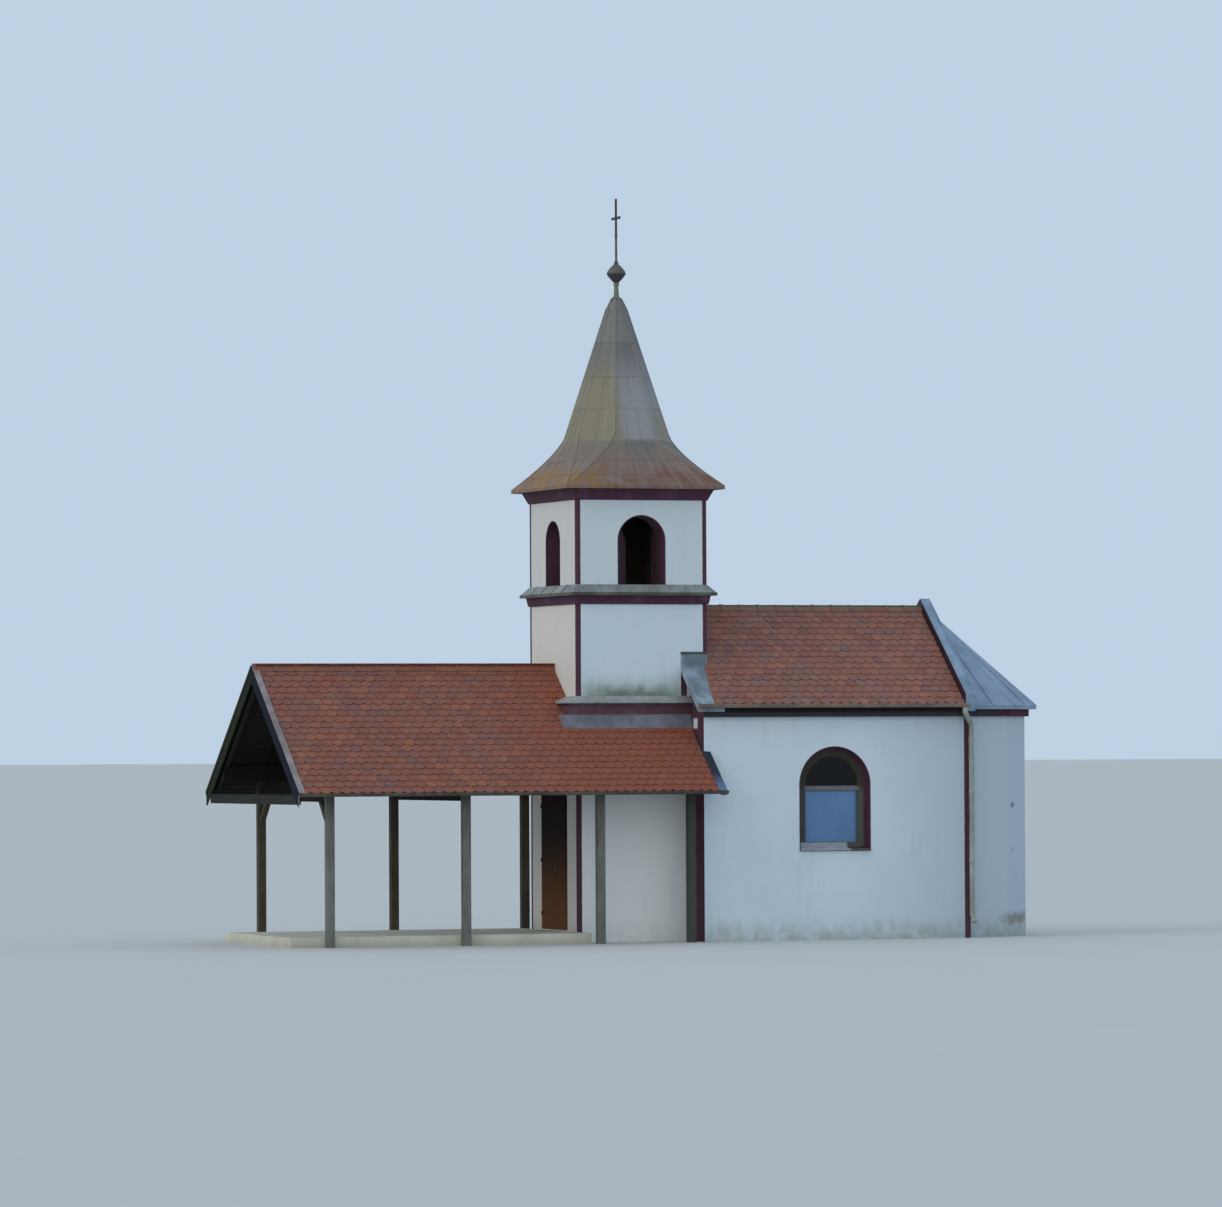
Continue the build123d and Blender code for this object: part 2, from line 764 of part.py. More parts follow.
# Door

def door():
    """Frame with pintles, and two leaves hung on them."""
    half = doorway_width / 2
    clear = half - door_frame_width
    face = -half_tower
    back = face + door_frame_depth
    bottom = inner_floor_top
    jamb_south = block(face, back, -half, -clear, bottom, doorway_head)
    jamb_north = block(face, back, clear, half, bottom, doorway_head)
    head = block(face, back, -clear, clear, doorway_head - door_frame_width, doorway_head)
    frame = jamb_south + jamb_north + head
    axis_x = face - hinge_offset

    def upright(radius, height, side, level):
        """A round piece on a hinge axis, standing on a level."""
        return Pos(axis_x, side * clear, level) * Cylinder(
            radius, height, align=(Align.CENTER, Align.CENTER, Align.MIN)
        )

    pin_height = pintle_arm_height + hinge_eye_height + pintle_pin_stand
    for level in hinge_levels:
        for side in (-1, 1):
            pin = upright(hinge_pin_radius, pin_height, side, level)
            boss = upright(hinge_pin_radius + pintle_boss_wall, pintle_arm_height, side, level)
            arm = block(axis_x - pintle_arm_half, face, side * clear, side * (clear + pintle_arm_reach),
                        level, level + pintle_arm_height)
            frame = frame + pin + boss + arm
    save("door_frame", frame)
    leaf_edge = clear - leaf_gap
    leaf = block(face, face + leaf_thickness, -leaf_edge, -leaf_gap / 2, bottom + leaf_floor_gap,
                 doorway_head - door_frame_width - leaf_gap)
    for level in hinge_levels:
        low = level + pintle_arm_height + hinge_clearance
        eye = upright(hinge_eye_radius, hinge_eye_height, -1, low)
        bore = upright(hinge_pin_radius + hinge_clearance, hinge_eye_height, -1, low)
        strap = block(face - hinge_strap_thickness, face, -leaf_edge, -leaf_edge + hinge_strap_length,
                      low, low + hinge_eye_height)
        leaf = leaf + (eye - bore) + strap
    save_pair("door_leaf", leaf)


floors()
lower_tower()
belfry()
tower_bands()
base_cornices()
spire()
finial()
nave_walls()
nave_roof()
nave_eaves()
windows()
apse()
porch_frame()
porch_roof()
door()
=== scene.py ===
import random
from math import ceil, cos, hypot, pi, radians, sin, sqrt, tan

import bmesh
import bpy
from mathutils import Matrix, Vector


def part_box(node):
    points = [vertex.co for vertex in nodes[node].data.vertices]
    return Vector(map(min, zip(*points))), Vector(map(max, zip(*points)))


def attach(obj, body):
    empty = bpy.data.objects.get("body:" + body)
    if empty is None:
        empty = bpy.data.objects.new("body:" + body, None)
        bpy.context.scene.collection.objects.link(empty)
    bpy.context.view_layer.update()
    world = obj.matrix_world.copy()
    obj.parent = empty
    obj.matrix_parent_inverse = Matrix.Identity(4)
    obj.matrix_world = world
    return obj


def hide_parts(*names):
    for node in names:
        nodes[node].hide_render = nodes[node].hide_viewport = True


# Looks of the small chapel, in metres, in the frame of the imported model:
# +X from the porch to the apse, +Y north, +Z up, the ground at zero.

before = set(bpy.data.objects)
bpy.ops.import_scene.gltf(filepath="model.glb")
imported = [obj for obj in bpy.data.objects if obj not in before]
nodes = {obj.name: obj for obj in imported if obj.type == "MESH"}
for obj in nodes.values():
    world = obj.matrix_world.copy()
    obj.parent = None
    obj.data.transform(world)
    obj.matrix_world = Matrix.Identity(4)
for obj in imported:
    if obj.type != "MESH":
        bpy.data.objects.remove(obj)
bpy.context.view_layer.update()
draw = random.Random(11)
south, north = -1, 1
sides = ((south, "south"), (north, "north"))

# Places read from the frame

deck_low, deck_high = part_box("belfry_floor")
tower_x = (deck_low.x + deck_high.x) / 2
deck_level = deck_high.z
tower_inner = deck_high.y
tower_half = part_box("belfry_west_wall")[1].y
tower_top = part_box("belfry_west_wall")[1].z
tower_west = tower_x - tower_half
nave_low, nave_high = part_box("nave_wall_south")
nave_west = nave_low.x
nave_east = nave_high.x
nave_half = -nave_low.y
window_low, window_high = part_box("nave_window_frames")
window_x = (window_low.x + window_high.x) / 2
window_half = (window_high.x - window_low.x) / 2
window_spring = window_high.z - window_half
window_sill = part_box("nave_window_sills")[0].z
window_face = -window_low.y
pane_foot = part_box("nave_window_panes")[0].z
pane_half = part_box("nave_window_panes")[1].x - window_x
sheet_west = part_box("nave_west_flashings")[0].x
sheet_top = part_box("nave_west_flashings")[1].z
porch_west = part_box("porch_roof_south")[0].x
porch_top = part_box("porch_ridge_tiles")[1].z
ledge_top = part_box("tower_base_flashings")[1].z
spire_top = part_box("spire")[1].z
spire_eave_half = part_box("spire")[1].y
spire_bend = tower_top + 0.96
orb_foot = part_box("spire_finial")[0].z + 0.28
transom_low, transom_high = 2.59, 2.67
apron_reach = 1.33

# Camera: a long lens from far off, as the photograph was taken

picture_width = 1222
focal_pixels = 6780
sensor_width = 36.0
view_turn = radians(20.21)
camera_distance = 118.3
camera_height = 3.35
picture_lean = 0.00506
aim_right = -0.001013
aim_up = 0.02129


def blend(share, first, last):
    return first + share * (last - first)


def facing(angle):
    """The directions outward and along a face of the tower or the spire."""
    return Vector((cos(angle), sin(angle), 0)), Vector((-sin(angle), cos(angle), 0))


def show(name, data):
    """Put new data in the scene as an object."""
    thing = bpy.data.objects.new(name, data)
    bpy.context.scene.collection.objects.link(thing)
    return thing


def place_camera():
    """Aim the camera at the middle of the picture, which leans slightly."""
    right = Vector((cos(view_turn), -sin(view_turn), 0))
    ahead = Vector((sin(view_turn), cos(view_turn), 0))
    up = Vector((0, 0, 1))
    aim = (ahead + right * aim_right + up * aim_up).normalized()
    above = up + right * picture_lean
    above = (above - aim * above.dot(aim)).normalized()
    spot = Vector((tower_x, 0, camera_height)) - ahead * camera_distance
    data = bpy.data.cameras.new("camera")
    data.sensor_fit = "HORIZONTAL"
    data.sensor_width = sensor_width
    data.lens = sensor_width * focal_pixels / picture_width
    data.clip_start = 1
    data.clip_end = 3000
    camera = show("camera", data)
    turn = Matrix((aim.cross(above), above, -aim)).transposed().to_4x4()
    camera.matrix_world = Matrix.Translation(spot) @ turn
    bpy.context.scene.camera = camera


# Materials

def shade(red, green, blue):
    """A colour as it shows on a screen, 0 to 255, in the renderer's units."""
    return tuple(((c / 255 + 0.055) / 1.055) ** 2.4 for c in (red, green, blue)) + (1.0,)


def math_node(operation):
    """A method that adds a math node to a value."""
    return lambda value, other=0.0: value.look.node("ShaderNodeMath", value, other, operation=operation)


class Value:
    """A number, mask or colour in a material; arithmetic on it adds nodes.

    The sign | gives the larger of two values, so either of two masks."""

    __add__ = math_node("ADD")
    __sub__ = math_node("SUBTRACT")
    __mul__ = math_node("MULTIPLY")
    __truediv__ = math_node("DIVIDE")
    __or__ = math_node("MAXIMUM")
    __abs__ = math_node("ABSOLUTE")
    root = math_node("SQRT")
    fraction = math_node("FRACT")

    def __init__(self, look, socket):
        self.look = look
        self.socket = socket

    def hypot(self, other):
        return (self * self + other * other).root()

    def rise(self, low, high):
        """0 at low and 1 at high, smooth between; low may be the larger."""
        return self.look.node("ShaderNodeMapRange", self, low, high, interpolation_type="SMOOTHSTEP")

    def past(self, place, soft=0.003):
        """1 beyond a place."""
        return self.rise(place - soft, place + soft)

    def short(self, place, soft=0.003):
        """1 short of a place."""
        return self.rise(place + soft, place - soft)

    def between(self, low, high, soft=0.003):
        return self.past(low, soft) * self.short(high, soft)

    def scale(self, low, high):
        """A mask turned into a number between two values."""
        return self.look.node("ShaderNodeMapRange", self, 0.0, 1.0, low, high)


class Finish:
    """A procedural material in the frame's metres, and its colour so far."""

    def __init__(self, name, roughness=0.8, metallic=0.0, shine=0.2):
        self.material = bpy.data.materials.new(name)
        self.material.use_nodes = True
        self.tree = self.material.node_tree
        self.shader = self.tree.nodes["Principled BSDF"].inputs
        self.put(roughness, self.shader["Roughness"])
        self.put(metallic, self.shader["Metallic"])
        self.put(shine, self.shader["Specular IOR Level"])
        self.place = self.node("ShaderNodeTexCoord", out="Object")
        self.x, self.y, self.z = (self.node("ShaderNodeSeparateXYZ", self.place, out=axis) for axis in "XYZ")
        self.colour = None

    def put(self, source, socket):
        """Link a value, or set a plain one or a screen colour."""
        if isinstance(source, Value):
            self.tree.links.new(source.socket, socket)
        elif source is not None:
            socket.default_value = shade(*source) if socket.type == "RGBA" else source

    def node(self, kind, *sources, out=0, **settings):
        """Add a node, fill its inputs in their order and give one of its outputs."""
        node = self.tree.nodes.new(kind)
        for key, value in settings.items():
            setattr(node, key, value)
        for source, socket in zip(sources, node.inputs):
            self.put(source, socket)
        return Value(self, node.outputs[out])

    def noise(self, scale, detail=3.0, stretch=(1, 1, 1), shift=0.0, rough=0.55):
        place = self.node("ShaderNodeMapping", self.place, (shift, shift, shift), None, stretch)
        return self.node("ShaderNodeTexNoise", place, None, scale, detail, rough)

    def runs(self, fine, along, shift=0.0):
        """Streaks that run down the spire all round its axis."""
        out = self.x - tower_x
        reach = out.hypot(self.y)
        place = (out / reach * fine, self.y / reach * fine, self.z * along + shift)
        return self.node("ShaderNodeTexNoise", self.node("ShaderNodeCombineXYZ", *place), None, 1.0, 5.0)

    def tint(self, turn=1.0):
        """The solid's own random value, 0 to 1; another turn gives another value."""
        return (self.node("ShaderNodeAttribute", out="Fac", attribute_name="tint") * turn).fraction()

    def mix(self, share, first, second):
        number_inputs = [None] * 5
        return self.node("ShaderNodeMix", share, *number_inputs, first, second, out=2, data_type="RGBA")

    def ramp(self, value, stops):
        """A colour for each value, from (place, colour) stops."""
        node = self.tree.nodes.new("ShaderNodeValToRGB")
        elements = node.color_ramp.elements
        while len(elements) < len(stops):
            elements.new(0.5)
        for element, (place, colour) in zip(elements, stops):
            element.position = place
            element.color = shade(*colour)
        self.put(value, node.inputs[0])
        return Value(self, node.outputs[0])

    def cover(self, share, tone):
        """Lay a tone over the colour so far, by a mask or an even share."""
        self.colour = self.mix(share, self.colour, tone)

    def done(self, *reliefs, roughness=None):
        """The finished material; each relief is a mask or noise and its depth in metres."""
        self.put(self.colour, self.shader["Base Color"])
        self.put(roughness, self.shader["Roughness"])
        if reliefs:
            bump = self.tree.nodes.new("ShaderNodeBump")
            bump.inputs["Distance"].default_value = 1.0
            first, *others = (height * depth for height, depth in reliefs)
            self.put(sum(others, first), bump.inputs["Height"])
            self.tree.links.new(bump.outputs[0], self.shader["Normal"])
        return self.material


# Walls

corner_stripe = 0.076
nave_stripe = 0.108
sheet_stripe = 0.11
reveal_edge = 0.018
reveal_depth = 0.26
bell_wide_half = 0.425
bell_narrow_half = 0.355
bell_foot = deck_level + 0.14
bell_spring = deck_level + 0.93
bare_across = (1.37, 1.56)
bare_levels = (3.68, 3.85)
roof_shade_levels = (3.4, 2.6)


def painted_parts(look, from_tower, from_middle):
    """Where the walls are dark red: corners, and edges and reveals of openings."""
    wobble = (look.noise(9, 2) - 0.5) * 0.012
    wall_edge = tower_half - corner_stripe
    tower = (from_tower | from_middle).short(tower_half + 0.015, 0.005)
    tower *= (from_tower + wobble).past(wall_edge, 0.002) * (from_middle + wobble).past(wall_edge, 0.002)
    nave = (look.x + wobble).between(nave_east - nave_stripe, nave_east + nave_stripe - 0.002, 0.002)
    nave *= (from_middle + wobble).past(nave_half - nave_stripe, 0.002)
    bare = from_middle.between(*bare_across, 0.03) * look.z.between(*bare_levels, 0.02)
    shoulder = look.x.between(nave_west - 0.006, nave_west + 0.006) * bare.scale(1, 0)
    shoulder *= from_middle.rise(tower_half + 0.005, tower_half + 0.01)
    by_sheet = look.x.between(sheet_west, sheet_west + sheet_stripe)
    by_sheet *= look.z.between(ledge_top, sheet_top - 0.17)
    by_sheet *= from_middle.between(tower_half - 0.01, tower_half + 0.01)
    paint = tower | nave | shoulder | by_sheet
    for across, half, spring, foot, depth, inner in (
        (from_tower, bell_wide_half, bell_spring, bell_foot, from_middle, tower_inner),
        (from_middle, bell_narrow_half, bell_spring, bell_foot, from_tower, tower_inner),
        (abs(look.x - window_x), window_half, window_spring, window_sill - 0.01, from_middle,
         nave_half - reveal_depth),
    ):
        reach = across.hypot((look.z - spring) | 0.0)
        paint |= reach.short(half + reveal_edge) * look.z.past(foot) * depth.rise(inner, inner + 0.01)
    return paint


def render_finish():
    """White lime render with algae streaks, splashed feet, red corners, red reveals, and painted light and
    shade.
    """
    look = Finish("lime_render", 0.9)
    from_middle = abs(look.y)
    from_tower = abs(look.x - tower_x)
    streaks = look.noise(1.0, 5, stretch=(9, 9, 0.5))
    high = look.z.rise(deck_level - 0.3, deck_level + 0.3)
    west_face = look.x.short(tower_west + 0.015, 0.005)
    look.colour = look.mix(look.noise(0.8, 5).rise(0.35, 0.68), (213, 224, 233), (205, 218, 229))
    look.cover(high, (206, 216, 220))
    # Painted sunlight: the west faces are warmer than the others.
    look.cover(west_face, (218, 214, 207))
    # Painted shade: the walls grow darker towards the east end and on the apse.
    look.cover(look.x.rise(window_x + 0.1, nave_east + 0.1), (184, 197, 208))
    # Painted sunlight: the belfry's west face is greyer.
    look.cover(high * west_face * 0.6, (206, 206, 206))
    # Painted light: the wall under the porch roof is lighter, standing in for light bounced up from the
    # ground. It is sheltered, so its streaks and splashes are fainter.
    under_roof = look.z.rise(*roof_shade_levels) * from_middle.short(nave_half - 0.15, 0.05)
    under_roof *= look.x.past(tower_west + 0.02, 0.01) * look.x.short(nave_west + 0.15, 0.05)
    look.cover(under_roof, (238, 239, 238))
    exposed = under_roof.scale(1.0, 0.35)
    run = streaks.rise(0.5, 0.74) * look.noise(1.3, shift=5).rise(0.4, 0.65) * exposed
    look.cover(run * 0.2, (168, 172, 160))
    foot = (look.z + streaks * 0.5).rise(0.72, 0.22) * look.noise(5, 5, shift=2).rise(0.15, 0.65)
    look.cover(foot * exposed * 0.6, (138, 142, 118))
    ledge_algae(look, streaks, from_tower, from_middle)
    spots(look)
    paint = painted_parts(look, from_tower, from_middle)
    look.cover(paint, look.mix(look.noise(12, 4), (96, 62, 76), (72, 44, 58)))
    # Painted shade: the walls inside the belfry are dark brown.
    inside = (from_tower | from_middle).short(tower_inner + 0.009)
    look.cover(inside * look.z.rise(deck_level, deck_level + 0.01), (44, 38, 34))
    fine = look.noise(70, 4)
    return look.done((fine, 0.0016), (look.noise(9, shift=1), 0.003), (paint, 0.001),
                     roughness=fine.scale(0.8, 0.97))


def ledge_algae(look, streaks, from_tower, from_middle):
    """Grey-green algae above the tower's ledge, black where it stays wet."""
    above = look.z - ledge_top
    soft = look.noise(1.0, 4, stretch=(3.5, 3.5, 2.0), shift=7)
    ragged = above - (soft - 0.5) * 0.3 - (streaks - 0.5) * 0.05
    off_centre = abs(look.x - (tower_x - 0.2))
    wall = above.past(-0.07, 0.05) * from_tower.short(tower_half, 0.01)
    wall *= from_middle.rise(tower_half - 0.05, tower_half - 0.02)
    look.cover(wall * ragged.rise(0.46, 0.0) * off_centre.rise(1.15, 0.8) * 0.7, (154, 168, 148))
    wet = wall * ragged.rise(0.26, 0.02) * off_centre.rise(1.05, 0.55)
    wet *= look.noise(1.0, 4, stretch=(4, 4, 5), shift=3).rise(0.2, 0.65)
    look.cover(wet * 0.75, (86, 92, 80))


def spots(look):
    """Two dark spots and a patch of bare brick on one side of the apse."""
    spot_y = -1.284
    facet_slope = 0.8
    apse_side = look.x.past(nave_east + 0.8, 0.05)
    for level, size, depth in ((2.31, 0.055, 0.65), (1.53, 0.035, 0.4)):
        reach = (abs(look.y - spot_y) * facet_slope).hypot(look.z - level) + look.noise(22) * 0.06
        look.cover(reach.rise(size + 0.05, size) * apse_side * depth, (70, 84, 92))
    ragged = look.z + (look.noise(3.5) - 0.5) * 0.25
    bare = ragged.rise(0.48, 0.34) * ragged.rise(0.16, 0.28)
    bare *= abs(look.y + 1.18).rise(0.5, 0.15) * look.x.past(nave_east + 0.7, 0.1)
    look.cover(bare * 0.6, look.mix(look.noise(14), (138, 116, 98), (112, 92, 80)))


def red_paint(name, light, dark, worn_tone):
    """Dark red paint, worn in patches."""
    look = Finish(name, 0.75)
    look.colour = look.mix(look.noise(14, 4), light, dark)
    look.cover(look.noise(3.5, 6).rise(0.5, 0.72) * 0.5, worn_tone)
    return look.done((look.noise(60), 0.001))


def shaded_eaves_paint():
    """The boards under the nave's gutters: red paint darkened almost to black as painted shade under the
    gutters, redder on the apse.
    """
    look = Finish("shaded_eaves_paint", 0.75)
    mottling = look.noise(12, 4)
    # Painted shade: almost black under the gutters.
    look.colour = look.mix(mottling, (66, 61, 68), (51, 51, 57))
    look.cover(look.x.past(nave_east + 0.6, 0.3), look.mix(mottling, (88, 50, 60), (64, 38, 48)))
    return look.done((look.noise(60), 0.001))


def concrete():
    look = Finish("concrete", 0.9)
    look.colour = look.mix(look.noise(1.4, 6).rise(0.35, 0.68), (210, 208, 192), (192, 189, 174))
    look.cover(look.z.rise(0.14, 0.02) * 0.3, (136, 134, 112))
    return look.done((look.noise(40, 5), 0.003))


# Roofs and sheet metal

def tile_finish(name, tones, dusting, moss, moss_mask, warm=None):
    """Clay tiles, each with its own colour, darkened in fine patches and spotted with lichen."""
    look = Finish(name, 0.85)
    stops = [(k / (len(tones) - 1), tone) for k, tone in enumerate(tones)]
    grain = look.noise(55, 4)
    look.colour = look.mix(0.3, look.ramp(look.tint(), stops), tones[1])
    look.cover(look.noise(2.2, 5).rise(0.45, 0.75) * 0.55, dusting)
    look.cover(grain.rise(0.55, 0.8) * 0.5, (70, 50, 48))
    lichen = look.noise(26, 4, shift=4).rise(0.62, 0.68) * look.noise(3, shift=9).rise(0.45, 0.6)
    look.cover(lichen * 0.7, (170, 165, 145))
    if warm is not None:
        look.cover(look.x.rise(tower_x - 3.4, tower_x - 1.0) * 0.65, warm)
    look.cover(moss_mask(look), moss)
    return look.done((grain, 0.0015), (look.noise(160, 2), 0.0006),
                     roughness=look.tint(7.0).scale(0.72, 0.95))


def nave_moss(look):
    """Moss by the west sheet and along the ridge."""
    growth = look.noise(7, 5, shift=6).rise(0.42, 0.62)
    growth *= look.x.rise(nave_west + 1.0, nave_west + 0.35) * look.z.between(4.45, 5.05, 0.25)
    ridge_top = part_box("nave_ridge_tiles")[1].z
    return look.z.rise(ridge_top - 0.07, ridge_top - 0.01) * 0.8 | growth * 0.1


def porch_moss(look):
    """Rust-coloured moss high up beside the tower."""
    growth = look.noise(9, 5, shift=6).rise(0.4, 0.58)
    growth *= look.x.rise(tower_x - 2.0, tower_x - 1.3) * look.z.rise(porch_top - 0.55, porch_top - 0.15)
    return growth * 0.4


def mortar():
    look = Finish("ridge_mortar", 0.95)
    look.colour = look.mix(look.noise(8, 5), (140, 134, 118), (104, 100, 86))
    return look.done((look.noise(45, 4), 0.004))


def spire_finish():
    """Old sheet metal: grey at the tip, rust on the skirt, streaked down the slope."""
    look = Finish("spire_sheet", 0.6)
    east = look.x - tower_x
    up = look.z - spire_bend
    broad = look.noise(1.6, 5)
    look.colour = look.mix(look.tint(), (120, 119, 117), (105, 105, 107))
    west_side = east.rise(0.05, -0.3) * up.rise(1.5, 0.7).scale(0.3, 1.0)
    look.cover(west_side * 0.65, (146, 136, 106))
    south_side = east.rise(-0.32, -0.08) * up.rise(-0.18, -0.06) * up.rise(1.7, 0.5)
    look.cover(south_side * 0.8, (155, 153, 157))
    look.cover(look.runs(30, 0.6, shift=4).rise(0.5, 0.7) * 0.3, (160, 156, 150))
    east_side = east.rise(0.3, 0.5) * look.y.rise(0.1, -0.1) * up.rise(0.7, 0.2)
    look.cover(east_side * 0.7, (142, 134, 116))
    look.cover(up.between(-0.5, -0.12, 0.04) * broad.rise(0.25, 0.5) * 0.6, (112, 106, 100))
    ragged = up + (look.runs(12, 0.9) - 0.5) * 0.75
    look.cover(ragged.rise(-0.06, -0.56) * 0.85, (128, 110, 102))
    rust = ragged.rise(-0.46, -0.75) * look.noise(3.2, 5, shift=8).rise(0.3, 0.68)
    look.cover(rust * 0.8, (116, 78, 64))
    look.cover(rust * east.rise(-0.5, -0.95) * 0.75, (154, 118, 66))
    pale = look.runs(22, 0.8, shift=9).rise(0.52, 0.72) * up.rise(0.8, -0.5)
    look.cover(pale * 0.35, (150, 142, 134))
    return look.done((look.noise(5, shift=3), 0.006), (look.noise(60), 0.0007),
                     roughness=broad.scale(0.48, 0.78))


def sheet_finish(name, light, dark, stain, roughness=0.5, stained=0.5, lower=None):
    """Sheet metal with stains that run down; lower is (level, light, dark) for other sheet below."""
    look = Finish(name, roughness, shine=0.4)
    broad = look.noise(2.4, 5)
    patches = broad.rise(0.35, 0.65)
    streaks = look.noise(1.0, 5, stretch=(14, 14, 1.2), shift=2)
    look.colour = look.mix(patches, light, dark)
    if lower is not None:
        level, light, dark = lower
        look.cover(look.z.short(level, 0.02), look.mix(patches, light, dark))
    look.cover(streaks.rise(0.5, 0.72) * stained, stain)
    return look.done((look.noise(6, 2, shift=4), 0.003), (look.noise(80, 2), 0.0004),
                     roughness=broad.scale(roughness - 0.1, roughness + 0.2))


def verge_paint():
    """Porch verges: dark boards under pale caps; the south boards are tinted navy and the north ones olive
    as painted reflection, and the north caps are darker as painted shade.
    """
    look = Finish("verge_paint", 0.7, shine=0.1)
    broad = look.noise(3.0, 5)
    north_side = look.y.past(0.0, 0.1)
    # Painted reflection: navy boards in the south, olive in the north. Painted shade: darker caps in the
    # north.
    look.colour = look.mix(north_side, (20, 22, 38), (36, 40, 22))
    look.cover(broad.rise(0.4, 0.7) * 0.5, (22, 22, 22))
    cap = look.mix(broad.rise(0.35, 0.65), (160, 149, 149), (132, 121, 122))
    look.cover(look.x.past(porch_west - 0.021, 0.002), look.mix(north_side, cap, (74, 76, 58)))
    east_edge = look.mix(look.z.rise(2.95, 2.62), (52, 56, 68), (104, 124, 156))
    look.cover(look.x.rise(tower_x, tower_x + 0.5), east_edge)
    return look.done((look.noise(60), 0.0008))


def east_verge_finish():
    """The nave's raised verge: blue sheet, dark red where it faces the tiles."""
    look = Finish("east_verge", 0.5)
    face_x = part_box("nave_east_verge")[0].x
    look.colour = look.mix(look.noise(2.4, 5).rise(0.35, 0.65), (140, 162, 184), (112, 134, 156))
    red = look.mix(look.noise(14, 4), (70, 46, 54), (48, 36, 42))
    look.cover(look.x.short(face_x + 0.0045, 0.0015), red)
    return look.done((look.noise(6, 2, shift=4), 0.003))


def sill_finish():
    """Grey sheet over the sill, rusty dark at the east end."""
    look = Finish("sill_sheet", 0.5, shine=0.4)
    broad = look.noise(5, 4)
    look.colour = look.mix(broad.rise(0.35, 0.65), (184, 192, 202), (156, 164, 174))
    east_end = (look.x + broad * 0.06).past(window_x + 0.29, 0.02)
    look.cover(east_end, look.mix(broad, (84, 56, 56), (52, 42, 42)))
    return look.done((look.noise(12, 2), 0.002))


def iron():
    look = Finish("black_iron", 0.55, metallic=0.6)
    look.colour = look.mix(look.noise(30, 5).rise(0.5, 0.7), (70, 66, 62), (96, 76, 62))
    return look.done((look.noise(90), 0.0008))


def finial_finish():
    """The neck as grey as the spire's sheets, and the orb darker on its underside as painted shade."""
    look = Finish("finial_metal", 0.6, metallic=0.2)
    # Painted shade: the orb's lower half is darker.
    look.colour = look.mix(look.z.short(orb_foot + 0.165, 0.015), (100, 99, 90), (72, 67, 76))
    look.cover(look.z.short(orb_foot, 0.01), (118, 120, 106))
    look.cover(look.noise(30, 5).rise(0.5, 0.7) * 0.4, (88, 78, 66))
    return look.done((look.noise(90), 0.0008))


# Wood, windows and floor

def timber(name, axis, light, dark, top=None, beyond=None):
    """Weathered wood with its grain along one axis.

    top is (low, high, colour) for the upper end, darkened as painted shade, and beyond is (x, colour) for
    pieces east of x."""
    look = Finish(name, 0.85)
    stretch = [38.0, 38.0, 38.0]
    stretch[axis] = 1.6
    grain = look.noise(1.0, 6, stretch=stretch, rough=0.65)
    look.colour = look.ramp(grain, [(0.3, dark), (0.52, light), (0.72, dark)])
    look.cover(look.noise(1.5, 4).rise(0.4, 0.7) * 0.4, dark)
    if beyond is not None:
        place, tone = beyond
        look.cover(look.x.past(place, 0.08), tone)
    if top is not None:
        low, high, tone = top
        look.cover(look.z.rise(low, high) * 0.75, tone)
    return look.done((grain, 0.003))


def door_finish():
    """Brown varnished boards, dark at the top as painted shade under the porch roof and paler towards the
    foot as painted light from the ground.
    """
    look = Finish("door_boards", 0.8, shine=0.1)
    grain = look.noise(1.0, 6, stretch=(45, 45, 1.8), rough=0.65)
    look.colour = look.mix(grain.rise(0.35, 0.65), (38, 19, 11), (23, 12, 8))
    # Painted light from the ground: paler towards the foot.
    look.cover((look.z + grain * 0.5).rise(2.3, 0.5) * 0.8, (118, 78, 44))
    return look.done((grain, 0.002))


def glass():
    """Glass over a drawn blue blind below the transom, with a painted shadow down its east side, and above
    it the unlit room painted dark as painted shade.
    """
    look = Finish("window_glass", 0.12, shine=0.25)
    unlit_room_shade = look.mix(look.noise(5, 4), (4, 6, 8), (14, 14, 12))
    look.colour = look.mix(look.noise(2.0, stretch=(1, 1, 0.5)), (107, 143, 185), (87, 118, 158))
    # Painted shadow of the reveal on the blind's east side.
    look.cover(look.x.past(window_x + window_half - 0.2, 0.04) * 0.75, (40, 56, 74))
    # Painted shade: the unlit room seen above the transom.
    look.cover(look.z.past(window_spring - 0.07, 0.03), unlit_room_shade)
    return look.done((look.noise(2.5, 1), 0.004))


def window_paint():
    """Dark weathered frame with a pale transom and bottom rail."""
    look = Finish("window_paint", 0.7)
    flakes = look.noise(24, 5).rise(0.52, 0.66)
    mottling = look.noise(7, 4)
    look.colour = look.mix(look.noise(5), (66, 62, 52), (52, 48, 42))
    stile = look.mix(look.x.past(window_x, 0.2), (70, 80, 74), (96, 100, 92))
    look.cover(look.z.short(window_spring - 0.05, 0.1) * 0.7, stile)
    transom = look.z.between(transom_low, transom_high, 0.004)
    transom *= abs(look.x - window_x).short(pane_half + 0.008, 0.004)
    look.cover(transom, look.mix(mottling, (124, 123, 128), (100, 100, 106)))
    rail = look.z.short(pane_foot, 0.004) * look.x.short(window_x + 0.28, 0.02)
    look.cover(rail, look.mix(mottling, (170, 174, 182), (144, 150, 158)))
    look.cover(flakes * 0.35, (84, 76, 66))
    return look.done((flakes, 0.0006))


def studio_floor():
    look = Finish("studio_floor", 0.95)
    look.colour = look.mix(look.noise(0.4), (206, 206, 202), (202, 202, 199))
    return look.done()


def named(*starts):
    """The CAD nodes whose names start in one of these ways."""
    return [node for name, node in nodes.items() if name.startswith(starts)]


def dress(material, *starts):
    """Give CAD nodes a material, which trims of the same kind share."""
    for node in named(*starts):
        node.data.materials.clear()
        node.data.materials.append(material)
    return material


def round_edges(piece, width):
    bevel = piece.modifiers.new("bevel", "BEVEL")
    bevel.width = width
    bevel.segments = 2
    bevel.limit_method = "ANGLE"
    bevel.angle_limit = radians(35)


